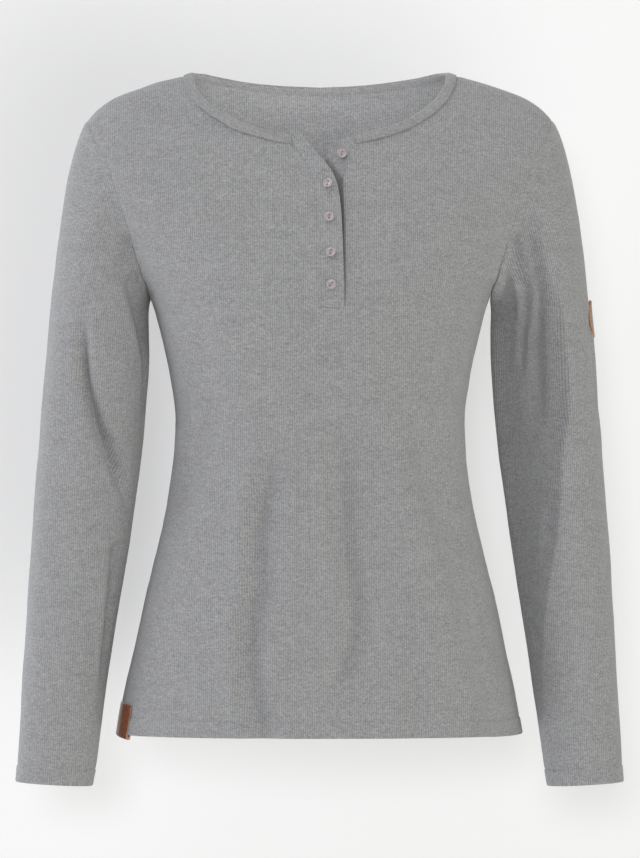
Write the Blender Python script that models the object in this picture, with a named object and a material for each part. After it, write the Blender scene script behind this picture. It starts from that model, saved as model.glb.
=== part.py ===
# Long-sleeved henley top in rib jersey, filled out as if worn.
# Metres, +Z up, the front faces -Y, the wearer's left is +X. The origin lies between
# the two high shoulder points, where the neckline crosses the shoulder seams.
# The tables below are in millimetres, in the same frame.
import math

import bmesh
import bpy
import numpy as np

MM = 0.001
CLOTH = 1.5              # wall of every knitted panel
SEAM_GAP = 0.4           # between two panels that are sewn together
FRONT = -1               # a face's side of the Y axis
BACK = 1
WEARER_LEFT = 1          # a half's side of the X axis
WEARER_RIGHT = -1

HEM_Z = -618.5
UNDERARM_Z = -208.0
SHOULDER_POINT_Z = -43.0     # the armholes' top
NECK_HALF_WIDTH = 120.1      # from the centre to a high shoulder point
SLIT_END_Z = -220.0          # lower end of the buttoned opening
SLIT_TOP_Z = -62.0           # where the opening's edges meet the neckline
CHEST_LINE_Z = -112.0        # height on the armhole where chest and yoke rows meet
CHEST_LINE_BEND = {FRONT: 52.0, BACK: 40.0}    # distance from the centre where that line bends
ROUNDNESS = 2.3              # exponent of the trunk's sections: 2 is an ellipse
CAP_HEIGHT = {FRONT: 120.0, BACK: 110.0}   # over which the shoulder rounds down

COLUMNS = 10             # cells from the opening to the side seam
SLIT_COLUMNS = 2         # cells between the two edges of the opening
SKIRT_ROWS = 11          # hem to underarm
CHEST_ROWS = 7           # underarm to the neckline's lowest point
YOKE_ROWS = 7            # neckline's lowest point to the shoulder seam
SLEEVE_CAP_ROWS = 5      # armhole to the first full ring
SLEEVE_ROWS = 14         # first full ring to the cuff

BINDING_WIDTH = 8.0
BINDING_WALL = 1.1
PIECE_GAP = 0.5          # a piece that lies on a panel keeps this distance
BUTTON_SIZE = 9.2        # between 14 and 15 ligne
BUTTON_WALL = 2.0
BUTTON_HOLE = 1.5
BUTTON_HOLE_PITCH = 3.6
ROUND_STEPS = 24         # sides of a turned piece
LEATHER = 1.5
LABEL_TOP = 28.5         # height of the hem label's outer leg
LABEL_TUCK = 16.0        # height of its inner leg
LABEL_FROM = 7.72        # the label's edges, in the front's columns
LABEL_TO = 8.84
PATCH_RADIUS = 17.5
PATCH_WALL = 2.2
PATCH_Z = -229.5
PATCH_TURN = 352.0       # its place round the sleeve, 0 on the outer line and 270 behind


class Table:
    # Rows with named columns, sorted by the first one and read smoothly between rows.
    def __init__(self, columns, rows):
        rows = sorted(rows)
        self.keys = np.array([row[0] for row in rows], float)
        self.values = {}
        for place, name in enumerate(columns):
            self.values[name] = np.array([row[place] for row in rows], float)

    def at(self, name, key):
        x, y = self.keys, self.values[name]
        key = min(max(key, x[0]), x[-1])
        k = min(max(int(np.searchsorted(x, key)) - 1, 0), len(x) - 2)
        slopes = np.diff(y) / np.diff(x)
        step = x[k + 1] - x[k]
        start = self.tangent(slopes, k)
        end = self.tangent(slopes, k + 1)
        t = (key - x[k]) / step
        return ((2 * t ** 3 - 3 * t ** 2 + 1) * y[k] + (t ** 3 - 2 * t ** 2 + t) * step * start
                + (3 * t ** 2 - 2 * t ** 3) * y[k + 1] + (t ** 3 - t ** 2) * step * end)

    @staticmethod
    def tangent(slopes, k):
        if k == 0:
            return slopes[0]
        if k == len(slopes):
            return slopes[-1]
        before, after = slopes[k - 1], slopes[k]
        if before * after <= 0:
            return 0.0
        return 2 * before * after / (before + after)


# Trunk sections. Above the underarm the half width is that of the form which the
# armholes cut through.
TRUNK = Table(("z", "half_width", "front", "back"), (
    (30, 290, 44, 60),
    (0, 285, 50, 74),
    (-43, 272, 66, 84),
    (-62, 264, 72, 88),
    (-81, 254, 79, 92),
    (-100, 240, 87, 96),
    (-121, 219, 96, 100),
    (-140, 203, 104, 103),
    (-155, 190, 110, 105),
    (-178, 179, 119, 107),
    (-196, 168, 125, 108),
    (-208, 160, 127, 107),
    (-240, 150.4, 124, 102),
    (-287, 140, 110, 94),
    (-324, 135.4, 102, 90),
    (-352, 136.3, 99.5, 90),
    (-400, 142.9, 100, 97),
    (-447, 153.2, 103, 105),
    (-494, 164.5, 105, 111),
    (-541, 174.8, 106, 114),
    (-588, 185.2, 106.5, 114),
    (-620, 190.8, 107, 114),
))

# Height of the shoulder line by the angle round the trunk, 0 at the centre.
SHOULDER = Table(("angle", "z"), (
    (0, 30), (12, 22), (24.9, 1), (28, -2.8), (33.8, -9.4), (41.3, -18.8),
    (44.4, -23.5), (49.1, -33), (53.2, -43), (65, -66), (90, -95),
))
NECK_ANGLE = 24.9        # high shoulder point
TIP_ANGLE = 53.2         # shoulder point, the armhole's top

# Armhole seams: distance from the centre by height.
ARMHOLE = Table(("z", "front", "back"), (
    (-43, 217.8, 217.8), (-62, 210.6, 213), (-81, 200, 206), (-100, 193.4, 200),
    (-121, 186.8, 194), (-140, 180.2, 187), (-155, 176.3, 181), (-178, 169.7, 172.5),
    (-196, 163.7, 164.7), (-208, 160, 160),
))

# Necklines: height by distance from the centre.
NECKLINE = {
    FRONT: Table(("across", "z"), (
        (0, -63.5), (30, -60.7), (50, -56.3), (76, -48), (91, -39.5), (102, -31.8),
        (110, -24), (116, -14.5), (119.5, -5), (NECK_HALF_WIDTH, 1),
    )),
    BACK: Table(("across", "z"), (
        (0, -10), (34, -8.6), (75, -4.6), (90, -2.6), (102, -0.6), (112, 1.0), (NECK_HALF_WIDTH, 1),
    )),
}

# The buttoned opening: the two edges of the front, the free edge of the upper band
# and how far it stands off the chest, and the hidden edge of the lower band. The top
# button is undone, so the upper band falls aside above the second one.
OPENING = Table(("z", "right_edge", "left_edge", "free_edge", "lift", "under_edge"), (
    (-220, -1.5, 23.0, 22.4, 1.7, -2.4),
    (-200, -1.5, 24.0, 22.5, 1.9, -1.4),
    (-186, -1.6, 24.0, 22.1, 2.1, -1.4),
    (-170, -1.9, 24.0, 21.6, 2.4, -1.4),
    (-157, -2.1, 24.0, 21.0, 2.8, -1.4),
    (-143, -2.4, 24.0, 20.2, 3.3, -1.4),
    (-130, -2.8, 24.0, 19.4, 3.8, -1.4),
    (-117, -2.8, 24.0, 17.9, 4.3, -1.4),
    (-103, -5.2, 24.3, 14.6, 4.6, -1.1),
    (-95, -7.8, 24.8, 10.9, 4.6, 0.2),
    (-86, -12.0, 25.6, 4.4, 4.4, 3.0),
    (-78, -17.6, 27.0, -2.8, 4.0, 5.8),
    (-69, -23.6, 28.6, -9.2, 3.6, 8.2),
    (-62, -24.8, 29.6, -15.8, 3.2, 10.0),
))
BAND_SHARES = ((0, 0.0), (0.25, 0.45), (0.6, 0.85), (1, 1.0))   # of its width, and of its lift
UNDER_BAND_DEPTH = 2.0   # the lower band's face, below the face of the front
UNDER_BAND_STEP = 2.5    # from its seam to where it reaches that depth
UPPER_BAND_TOP = -61.6
UNDER_BAND_TOP = -60.5

# Buttons: place on the chest, lift of the cloth below and turn about the vertical.
BUTTONS = (
    # name, across, z, lift, turn in degrees
    ("button_1", 20.1, -77.2, 0.0, 8),
    ("button_2", 7.4, -109.2, 4.6, -30),
    ("button_3", 8.6, -139.2, 3.2, -8),
    ("button_4", 9.7, -171.7, 2.4, -4),
    ("button_5", 10.1, -200.5, 1.9, 0),
)

# Sleeve rings, from the first full one under the armpit to the cuff. A ring's outer
# side lies higher than its inner side by the tilt.
SLEEVE = Table(("z", "inner", "outer", "half_depth", "centre_y", "tilt"), (
    (-225, 161, 253.8, 56, 1, 0),
    (-258, 160.7, 257, 55, 2, 0),
    (-305, 163, 261.3, 52.5, 2, 0.5),
    (-352, 167.5, 265, 49.5, 1, 1),
    (-400, 174, 268.8, 46.5, -1, 1.5),
    (-447, 180.5, 272, 43.5, -4, 2),
    (-494, 188, 274.7, 40.5, -8, 2.5),
    (-541, 194.8, 277.3, 38, -12, 3),
    (-588, 202, 280, 35.5, -16, 3.4),
    (-644, 209.8, 283, 33, -20, 3.8),
    (-664.5, 213.4, 284.4, 32, -22, 4),
))
SLEEVE_TOP_Z = -225.0
CUFF_Z = -664.5
CREASE_START = 95.0      # degrees round the armhole where the sleeve starts to fold down
CREASE_TURN = 158.0      # how far it has folded at the underarm
LEAVE_PULL = 0.42        # share of the cap's length over which it leaves the armhole
ARRIVE_PULL = 0.80       # and over which it joins the first ring

# Largest folds as soft troughs: the path goes through the listed points.
# On the trunk a point is (across, z), on a sleeve (turn, z), where turn is 0 on the
# outer line, 90 in front, 180 on the inner line and 270 behind.
TRUNK_FOLDS = (
    # face, half width, depth, path
    (FRONT, 17, 3.0, ((-44, -296), (-53, -400), (-56, -484), (-65, -555))),
    (FRONT, 17, 3.0, ((6, -290), (19, -352), (25, -437), (30, -522), (20, -560))),
    (FRONT, 16, 3.0, ((95, -296), (104, -334), (118, -390), (124, -440))),
    (FRONT, 17, 2.5, ((-112, -330), (-122, -390), (-132, -450))),
    (BACK, 20, 4.0, ((-60, -270), (-46, -350), (-50, -420))),
    (BACK, 20, 4.0, ((52, -262), (40, -345), (46, -430))),
    (BACK, 18, 3.0, ((4, -300), (-6, -380), (2, -470), (8, -540))),
    (BACK, 18, 3.0, ((112, -300), (104, -360), (120, -430))),
    (BACK, 18, 3.0, ((-116, -296), (-106, -368), (-124, -440))),
)
SLEEVE_FOLDS = (
    # side, half width, depth, path
    (WEARER_RIGHT, 15, 6.0, ((74, -230), (81, -277), (94, -310), (115, -343), (140, -376), (172, -415))),
    (WEARER_RIGHT, 14, 4.0, ((150, -560), (146, -600), (138, -645))),
    (WEARER_RIGHT, 14, 4.5, ((60, -430), (84, -462), (112, -486))),
    (WEARER_RIGHT, 15, 5.0, ((286, -250), (268, -300), (240, -345), (214, -380))),
    (WEARER_RIGHT, 14, 4.0, ((300, -420), (272, -450), (244, -470))),
    (WEARER_LEFT, 17, 5.0, ((101, -258), (112, -305), (124, -352), (139, -423), (140, -493), (136, -554))),
    (WEARER_LEFT, 14, 4.0, ((52, -300), (44, -345), (30, -392))),
    (WEARER_LEFT, 15, 5.0, ((282, -262), (262, -312), (236, -352), (210, -392))),
    (WEARER_LEFT, 14, 4.0, ((296, -440), (268, -468), (240, -490))),
)
FOLD_RUN_OUT = 45.0      # length over which a fold fades at its ends


def unit(vector):
    return vector / np.linalg.norm(vector)


def smooth_step(t):
    t = min(max(t, 0.0), 1.0)
    return t * t * (3 - 2 * t)


def cap_drop(turn):
    # Share of the cap's height below the shoulder line at a turn of the rounding.
    if turn < math.pi / 2:
        return 1 - math.cos(turn)
    return 1 + turn - math.pi / 2


def cap_turn(drop):
    if drop < 1:
        return math.acos(1 - max(drop, 0.0))
    return math.pi / 2 + drop - 1


def trunk_form(face, angle, turn):
    # A point of the smooth trunk: angle round it in degrees, turn down from the
    # shoulder line in radians.
    z = SHOULDER.at("z", abs(angle)) - CAP_HEIGHT[face] * cap_drop(abs(turn))
    lean = math.sin(math.radians(angle))
    depth = TRUNK.at("front" if face == FRONT else "back", z)
    depth *= max(1 - abs(lean) ** ROUNDNESS, 0.0) ** (1 / ROUNDNESS)
    if abs(angle) > 90:
        depth = -depth
    if turn < math.pi / 2:
        depth *= math.sin(turn)
    return np.array((TRUNK.at("half_width", z) * lean, face * depth, z))


def trunk_place(face, across, z):
    # Angle and turn of the point of the trunk at a distance across and a height.
    lean = min(max(across / TRUNK.at("half_width", z), -1.0), 1.0)
    angle = math.degrees(math.asin(lean))
    drop = (SHOULDER.at("z", abs(angle)) - z) / CAP_HEIGHT[face]
    return np.array((angle, cap_turn(drop)))


def path_distance(points, here):
    # Distance to a path of straight runs, and how far along it the nearest point is.
    best, along, run = None, 0.0, 0.0
    for a, b in zip(points, points[1:]):
        length = np.linalg.norm(b - a)
        t = min(max(np.dot(here - a, b - a) / length ** 2, 0.0), 1.0)
        distance = np.linalg.norm(here - (a + t * (b - a)))
        if best is None or distance < best:
            best, along = distance, run + t * length
        run += length
    return best, along, run


def fold_depth(half_width, depth, points, here):
    distance, along, length = path_distance(points, here)
    if distance >= 2 * half_width:
        return 0.0
    fade = smooth_step(along / FOLD_RUN_OUT + 0.15) * smooth_step((length - along) / FOLD_RUN_OUT + 0.15)
    return depth * fade * 0.5 * (1 + math.cos(math.pi * distance / (2 * half_width)))


def trunk_sink(face, point):
    here = np.array((point[0], point[2]))
    sink = 0.0
    for side, half_width, depth, path in TRUNK_FOLDS:
        if side == face:
            sink += fold_depth(half_width, depth, [np.array(p, float) for p in path], here)
    return sink


def trunk_wall(face, angle, turn):
    # Outer point, inner point and outward normal of the cloth.
    small = 0.3
    across = trunk_form(face, angle + small, turn) - trunk_form(face, angle - small, turn)
    down = (trunk_form(face, angle, turn + math.radians(small))
            - trunk_form(face, angle, turn - math.radians(small)))
    normal = unit(np.cross(across, down)) * face
    point = trunk_form(face, angle, turn)
    point = point - normal * trunk_sink(face, point)
    if abs(point[1]) < SEAM_GAP / 2:
        point[1] = face * SEAM_GAP / 2
    return point, point - normal * CLOTH, normal


def evenly(curve, count):
    # Places along a curve of (angle, turn), with equal lengths of cloth between them.
    # The curve takes a share from 0 to 1 and a face's form gives its points.
    shares = np.linspace(0, 1, 161)
    points = np.array([curve(share)[0] for share in shares])
    run = np.concatenate(([0], np.cumsum(np.linalg.norm(np.diff(points, axis=0), axis=1))))
    chosen = np.interp(np.linspace(0, run[-1], count + 1), run, shares)
    return np.array([curve(share)[1] for share in chosen])


def edge_curve(face, across_and_z):
    # Curve on the trunk through (across, z) given by a share.
    def curve(share):
        place = trunk_place(face, *across_and_z(share))
        return trunk_form(face, *place), place
    return curve


def blend_patch(bottom, top, left, right):
    # Places inside four edges. Bottom and top run from left to right, left and right
    # run upwards, and the corners are shared.
    rows, columns = len(left) - 1, len(bottom) - 1
    patch = np.zeros((rows + 1, columns + 1, 2))
    for i in range(rows + 1):
        t = i / rows
        for j in range(columns + 1):
            s = j / columns
            corners = ((1 - s) * (1 - t) * bottom[0] + s * (1 - t) * bottom[-1]
                       + (1 - s) * t * top[0] + s * t * top[-1])
            patch[i, j] = ((1 - t) * bottom[j] + t * top[j] + (1 - s) * left[i] + s * right[i]
                           - corners)
    return patch


def half_panel(face, side):
    # Places of one half of the front or back, from its inner edge to the side seam and
    # from the hem up: along the opening and neckline inside, along the armhole outside.
    slit = {WEARER_RIGHT: "right_edge", WEARER_LEFT: "left_edge"}[side]
    column = "front" if face == FRONT else "back"
    neck = NECKLINE[face]
    open_front = face == FRONT
    base_inner_z = SLIT_END_Z if open_front else UNDERARM_Z
    corner_x = abs(OPENING.at(slit, SLIT_TOP_Z)) if open_front else 0.0
    corner_z = neck.at("z", corner_x)

    def inner_x(z):
        return side * OPENING.at(slit, z) if open_front else 0.0

    inner_base = trunk_place(face, side * inner_x(base_inner_z), base_inner_z) * (side, 1)

    def base(share):
        angle = inner_base[0] + (90 - inner_base[0]) * share
        z = base_inner_z + (UNDERARM_Z - base_inner_z) * smooth_step(share)
        drop = (SHOULDER.at("z", abs(angle)) - z) / CAP_HEIGHT[face]
        return np.array((angle, cap_turn(drop)))

    def slit_edge(share):
        z = base_inner_z + (corner_z - base_inner_z) * share
        return inner_x(z), z

    def armhole(low, high):
        return lambda share: (ARMHOLE.at(column, low + (high - low) * share), low + (high - low) * share)

    def chest_line(share):
        start, middle, end = (np.array(p) for p in (
            (inner_x(corner_z) if open_front else 0.0, corner_z),
            (CHEST_LINE_BEND[face], CHEST_LINE_Z),
            (ARMHOLE.at(column, CHEST_LINE_Z), CHEST_LINE_Z)))
        return (1 - share) ** 2 * start + 2 * share * (1 - share) * middle + share ** 2 * end

    def neck_edge(share):
        # Runs out from the corner; the squared share crowds the steep end.
        first = inner_x(corner_z)
        x = NECK_HALF_WIDTH - (NECK_HALF_WIDTH - first) * (1 - share) ** 2
        return x, neck.at("z", x) if x > 0 else corner_z

    def shoulder(share):
        angle = NECK_ANGLE + (TIP_ANGLE - NECK_ANGLE) * share
        return trunk_form(face, angle, 0.0), np.array((angle, 0.0))

    places = []
    bottom = np.array([base(j / COLUMNS) for j in range(COLUMNS + 1)])
    for row in range(SKIRT_ROWS):
        line = []
        for place in bottom:
            top_z = trunk_form(face, *place)[2]
            z = HEM_Z + (top_z - HEM_Z) * row / SKIRT_ROWS
            inner = math.degrees(math.asin(inner_x(SLIT_END_Z) / TRUNK.at("half_width", z)))
            share = (place[0] - bottom[0][0]) / (90 - bottom[0][0])
            angle = inner + (90 - inner) * share
            drop = (SHOULDER.at("z", abs(angle)) - z) / CAP_HEIGHT[face]
            line.append((angle, cap_turn(drop)))
        places.append(np.array(line))
    middle = evenly(edge_curve(face, chest_line), COLUMNS)
    chest = blend_patch(bottom, middle,
                        evenly(edge_curve(face, slit_edge), CHEST_ROWS),
                        evenly(edge_curve(face, armhole(UNDERARM_Z, CHEST_LINE_Z)), CHEST_ROWS))
    yoke = blend_patch(middle, evenly(shoulder, COLUMNS),
                       evenly(edge_curve(face, neck_edge), YOKE_ROWS),
                       evenly(edge_curve(face, armhole(CHEST_LINE_Z, SHOULDER_POINT_Z)), YOKE_ROWS))
    places += list(chest[:-1]) + list(yoke)
    places = np.array(places)
    places[..., 0] *= side
    return places


def wall_grid(face, places):
    # Outer points, inner points and normals for a grid of places.
    shape = places.shape[:2] + (3,)
    outer, inner, normal = np.zeros(shape), np.zeros(shape), np.zeros(shape)
    for i in range(shape[0]):
        for j in range(shape[1]):
            outer[i, j], inner[i, j], normal[i, j] = trunk_wall(face, *places[i, j])
    return outer, inner, normal


def material(name, colour, roughness):
    made = bpy.data.materials.new(name)
    made.use_nodes = True
    made.diffuse_color = (*colour, 1)
    shader = made.node_tree.nodes["Principled BSDF"]
    shader.inputs["Base Color"].default_value = (*colour, 1)
    shader.inputs["Roughness"].default_value = roughness
    shader.inputs["Metallic"].default_value = 0.0
    return made


def add_object(name, bm, parts, finish):
    bmesh.ops.recalc_face_normals(bm, faces=bm.faces)
    mesh = bpy.data.meshes.new(name)
    bm.to_mesh(mesh)
    bm.free()
    mesh.shade_smooth()
    mesh.set_sharp_from_angle(angle=math.radians(40))
    made = bpy.data.objects.new(name, mesh)
    mesh.materials.append(finish)
    parts.objects.link(made)
    return made


def cloth_body(name, blocks, parts, finish):
    # One closed wall from blocks of (outer points, inner points). Blocks share the
    # points along their common edges.
    bm = bmesh.new()
    pairs = {}

    def pair(outer, inner):
        key = tuple(np.round(outer, 2))
        if key not in pairs:
            pairs[key] = (bm.verts.new(outer * MM), bm.verts.new(inner * MM))
        return pairs[key]

    partner = {}
    for outer, inner in blocks:
        rows, columns = outer.shape[0] - 1, outer.shape[1] - 1
        for i in range(rows):
            for j in range(columns):
                corners = [pair(outer[a], inner[a]) for a in ((i, j), (i, j + 1), (i + 1, j + 1), (i + 1, j))]
                partner.update(corners)
                bm.faces.new([corner[0] for corner in corners])
                bm.faces.new([corner[1] for corner in reversed(corners)])
    for edge in [e for e in bm.edges if e.is_boundary and e.verts[0] in partner]:
        a, b = edge.verts
        bm.faces.new((a, b, partner[b], partner[a]))
    return add_object(name, bm, parts, finish)


def swept_body(name, stations, parts, finish):
    # Closed outlines joined in order, with both ends capped.
    bm = bmesh.new()
    rings = [[bm.verts.new(point * MM) for point in station] for station in stations]
    count = len(rings[0])
    for a, b in zip(rings, rings[1:]):
        for k in range(count):
            bm.faces.new((a[k], a[(k + 1) % count], b[(k + 1) % count], b[k]))
    bm.faces.new(rings[0])
    bm.faces.new(rings[-1])
    return add_object(name, bm, parts, finish)


def fold_over(outer, inner, into, normal, legs, wall, lip):
    # Outline of a strip folded over an edge: legs are how far it reaches over the
    # panel outside and inside.
    over, under = outer + normal * PIECE_GAP, inner - normal * PIECE_GAP
    middle = (over + under) / 2
    return [
        over + into * legs[0] + normal * wall, over + normal * wall * 1.05,
        over - into * lip * 0.7 + normal * wall * 0.4, middle - into * lip,
        under - into * lip * 0.7 - normal * wall * 0.4, under - normal * wall * 1.05,
        under + into * legs[1] - normal * wall, under + into * legs[1],
        under - into * 0.2, middle - into * 0.4, over - into * 0.2, over + into * legs[0],
    ]


def front_and_back(parts, jersey):
    grids = {}
    for face in (FRONT, BACK):
        for side in (WEARER_RIGHT, WEARER_LEFT):
            grids[face, side] = wall_grid(face, half_panel(face, side))
    for face, name in ((FRONT, "front"), (BACK, "back")):
        blocks = [grids[face, side][:2] for side in (WEARER_RIGHT, WEARER_LEFT)]
        if face == FRONT:
            blocks.append(below_opening(grids))
        cloth_body(name, blocks, parts, jersey)
    return grids


def below_opening(grids):
    # The cloth between the two halves of the front, from the hem to the opening's end.
    right, left = grids[FRONT, WEARER_RIGHT], grids[FRONT, WEARER_LEFT]
    outer = np.zeros((SKIRT_ROWS + 1, SLIT_COLUMNS + 1, 3))
    inner = np.zeros_like(outer)
    for i in range(SKIRT_ROWS + 1):
        outer[i, 0], inner[i, 0] = right[0][i, 0], right[1][i, 0]
        outer[i, -1], inner[i, -1] = left[0][i, 0], left[1][i, 0]
        for j in range(1, SLIT_COLUMNS):
            share = j / SLIT_COLUMNS
            x, z = (outer[i, 0] * (1 - share) + outer[i, -1] * share)[[0, 2]]
            outer[i, j], inner[i, j] = trunk_wall(FRONT, *trunk_place(FRONT, x, z))[:2]
    return outer, inner


def armhole_loop(grids, side):
    # Points, normals and outward directions round the armhole: from the shoulder
    # point down the front to the underarm and up the back.
    under = CHEST_ROWS + YOKE_ROWS
    loop = []
    for face in (FRONT, BACK):
        outer, _, normal = grids[face, side]
        edge = [(outer[-1 - i, -1].copy(), normal[-1 - i, -1]) for i in range(under + 1)]
        loop += edge if face == FRONT else edge[::-1][1:-1]
    points = np.array([point for point, _ in loop])
    normals = np.array([normal for _, normal in loop])
    points[0][1] = 0.0
    points[under][1] = 0.0
    outward = []
    for k in range(len(points)):
        along = unit(points[(k + 1) % len(points)] - points[k - 1])
        away = unit(np.cross(normals[k], along)) * side
        outward.append(away)
    run = np.linalg.norm(np.roll(points, -1, axis=0) - points, axis=1)
    down = np.cumsum(run[:under]) / run[:under].sum() * 180
    up = 180 + np.cumsum(run[under:]) / run[under:].sum() * 180
    turns = np.concatenate(([0], down, up[:-1]))
    return points, normals, np.array(outward), turns


def ring_point(side, z, turn):
    inner, outer = SLEEVE.at("inner", z), SLEEVE.at("outer", z)
    lean, forward = math.cos(math.radians(turn)), math.sin(math.radians(turn))
    x = (inner + outer) / 2 + (outer - inner) / 2 * lean
    y = SLEEVE.at("centre_y", z) - SLEEVE.at("half_depth", z) * forward
    return np.array((side * x, y, z + SLEEVE.at("tilt", z) / 2 * lean))


def ring_normal(side, z, turn):
    small = 0.5
    round_it = ring_point(side, z, turn + small) - ring_point(side, z, turn - small)
    along = ring_point(side, z - small, turn) - ring_point(side, z + small, turn)
    return unit(np.cross(round_it, along)) * side


def girth_point(z, turn):
    # Place on the opened-out sleeve: distance round and height, both in millimetres.
    radius = (SLEEVE.at("outer", z) - SLEEVE.at("inner", z)) / 4 + SLEEVE.at("half_depth", z) / 2
    return np.array((math.radians(turn) * radius, z))


def sleeve_sink(side, z, turn):
    sink = 0.0
    for where, half_width, depth, path in SLEEVE_FOLDS:
        if where == side:
            points = [girth_point(height, angle) for angle, height in path]
            sink += fold_depth(half_width, depth, points, girth_point(z, turn))
    return sink


def sleeve(name, side, grids, parts, jersey):
    points, normals, outward, turns = armhole_loop(grids, side)
    count = len(points)
    rows = SLEEVE_CAP_ROWS + SLEEVE_ROWS
    outer = np.zeros((rows + 1, count, 3))
    edge_normals = []
    for k, turn in enumerate(turns):
        fold = smooth_step((180 - abs(180 - turn) - CREASE_START) / (180 - CREASE_START))
        bend = math.radians(CREASE_TURN * fold)
        leave = outward[k] * math.cos(bend) + normals[k] * math.sin(bend)
        edge_normals.append(normals[k] * math.cos(bend) - outward[k] * math.sin(bend))
        start = points[k] + leave * SEAM_GAP
        end = ring_point(side, SLEEVE_TOP_Z, turn)
        down = unit(ring_point(side, SLEEVE_TOP_Z - 1, turn) - end)
        reach = np.linalg.norm(end - start)
        for i in range(SLEEVE_CAP_ROWS):
            t = i / SLEEVE_CAP_ROWS
            outer[i, k] = ((2 * t ** 3 - 3 * t ** 2 + 1) * start
                           + (t ** 3 - 2 * t ** 2 + t) * LEAVE_PULL * reach * leave
                           + (3 * t ** 2 - 2 * t ** 3) * end
                           + (t ** 3 - t ** 2) * ARRIVE_PULL * reach * down)
        for i in range(SLEEVE_ROWS + 1):
            z = SLEEVE_TOP_Z + (CUFF_Z - SLEEVE_TOP_Z) * i / SLEEVE_ROWS
            sunk = ring_normal(side, z, turn) * sleeve_sink(side, z, turn)
            outer[SLEEVE_CAP_ROWS + i, k] = ring_point(side, z, turn) - sunk
    inner = np.zeros_like(outer)
    for i in range(rows + 1):
        for k in range(count):
            if i == 0:
                normal = edge_normals[k]
            else:
                along = outer[min(i + 1, rows), k] - outer[i - 1, k]
                round_it = outer[i, (k + 1) % count] - outer[i, k - 1]
                normal = unit(np.cross(round_it, along)) * side
            inner[i, k] = outer[i, k] - normal * CLOTH
    closed_outer = np.concatenate((outer, outer[:, :1]), axis=1)
    closed_inner = np.concatenate((inner, inner[:, :1]), axis=1)
    cloth_body(name, [(closed_outer, closed_inner)], parts, jersey)


def neck_binding(grids, parts, jersey):
    # From the opening's left edge round the back of the neck to its right edge.
    low = SKIRT_ROWS + CHEST_ROWS
    high = low + YOKE_ROWS

    def station(face, side, row):
        outer, inner, normal = grids[face, side]
        toward = outer[row, 1] if row > low else outer[row - 1, 0]
        into = unit(toward - outer[row, 0])
        points = [outer[row, 0].copy(), inner[row, 0].copy()]
        if row == high:
            points[0][1] = points[1][1] = 0.0
        return fold_over(*points, into, normal[row, 0],
                         (BINDING_WIDTH, BINDING_WIDTH - 1), BINDING_WALL, 1.6)

    stations = [station(FRONT, WEARER_LEFT, row) for row in range(low, high + 1)]
    stations += [station(BACK, WEARER_LEFT, row) for row in range(high - 1, low - 1, -1)]
    stations += [station(BACK, WEARER_RIGHT, row) for row in range(low + 1, high + 1)]
    stations += [station(FRONT, WEARER_RIGHT, row) for row in range(high - 1, low - 1, -1)]
    swept_body("neck_binding", stations, parts, jersey)


def chest_wall(across, z, lift):
    point, _, normal = trunk_wall(FRONT, *trunk_place(FRONT, across, z))
    return point + normal * lift, point + normal * (lift - CLOTH)


def band_heights(grids, side, top):
    # The band's rows are level with those of the edge it is sewn to.
    edge = grids[FRONT, side][0][SKIRT_ROWS:SKIRT_ROWS + CHEST_ROWS + 1, 0, 2]
    return [edge[0] + SEAM_GAP] + list(edge[1:-1]) + [top]


def band(name, heights, edges, parts, jersey):
    # Edges gives, for a height, the points across as (across, lift).
    outer = np.zeros((len(heights), len(BAND_SHARES), 3))
    inner = np.zeros_like(outer)
    for i, z in enumerate(heights):
        for j, (across, lift) in enumerate(edges(z)):
            outer[i, j], inner[i, j] = chest_wall(across, z, lift)
    cloth_body(name, [(outer, inner)], parts, jersey)


def plackets(grids, parts, jersey):
    def upper(z):
        seam, free = OPENING.at("right_edge", z) + SEAM_GAP, OPENING.at("free_edge", z)
        lift = OPENING.at("lift", z)
        return [(seam + (free - seam) * share, lift * rise) for share, rise in BAND_SHARES]

    def under(z):
        seam, free = OPENING.at("left_edge", z) - SEAM_GAP, OPENING.at("under_edge", z)
        return [(seam, -0.3), (seam - UNDER_BAND_STEP, -UNDER_BAND_DEPTH),
                ((seam + free) / 2, -UNDER_BAND_DEPTH), (free, -UNDER_BAND_DEPTH)]

    band("placket_upper", band_heights(grids, WEARER_RIGHT, UPPER_BAND_TOP), upper, parts, jersey)
    band("placket_under", band_heights(grids, WEARER_LEFT, UNDER_BAND_TOP), under, parts, jersey)


def button_blank():
    # Turned disc with a raised rim: the profile runs out over the face and back below.
    radius = BUTTON_SIZE / 2
    profile = ((0, 1.15), (radius * 0.5, 1.2), (radius * 0.64, 1.45), (radius * 0.74, BUTTON_WALL),
               (radius * 0.9, BUTTON_WALL), (radius, 1.35), (radius * 0.98, 0.75),
               (radius * 0.62, 0.0), (0, 0))
    bm = bmesh.new()
    verts = [bm.verts.new((x * MM, 0, z * MM)) for x, z in profile]
    for a, b in zip(verts, verts[1:]):
        bm.edges.new((a, b))
    bmesh.ops.spin(bm, geom=bm.verts[:] + bm.edges[:], cent=(0, 0, 0), axis=(0, 0, 1),
                   angle=math.tau, steps=ROUND_STEPS, use_merge=True, use_duplicate=False)
    bmesh.ops.remove_doubles(bm, verts=bm.verts[:], dist=0.00001)
    return bm


def buttons(parts, cutters, pearl):
    for name, across, z, lift, turn in BUTTONS:
        made = add_object(name, button_blank(), parts, pearl)
        place = trunk_place(FRONT, across, z)
        point, _, normal = trunk_wall(FRONT, *place)
        tip = abs(math.sin(math.radians(turn))) * BUTTON_SIZE * 0.31
        spot = point + normal * (lift + PIECE_GAP + tip)
        cut_holes(made, cutters)
        made.location = spot * MM
        facing = math.atan2(normal[0], -normal[1]) + math.radians(turn)
        made.rotation_euler = (math.pi / 2 - math.asin(normal[2]), 0, facing)


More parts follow.
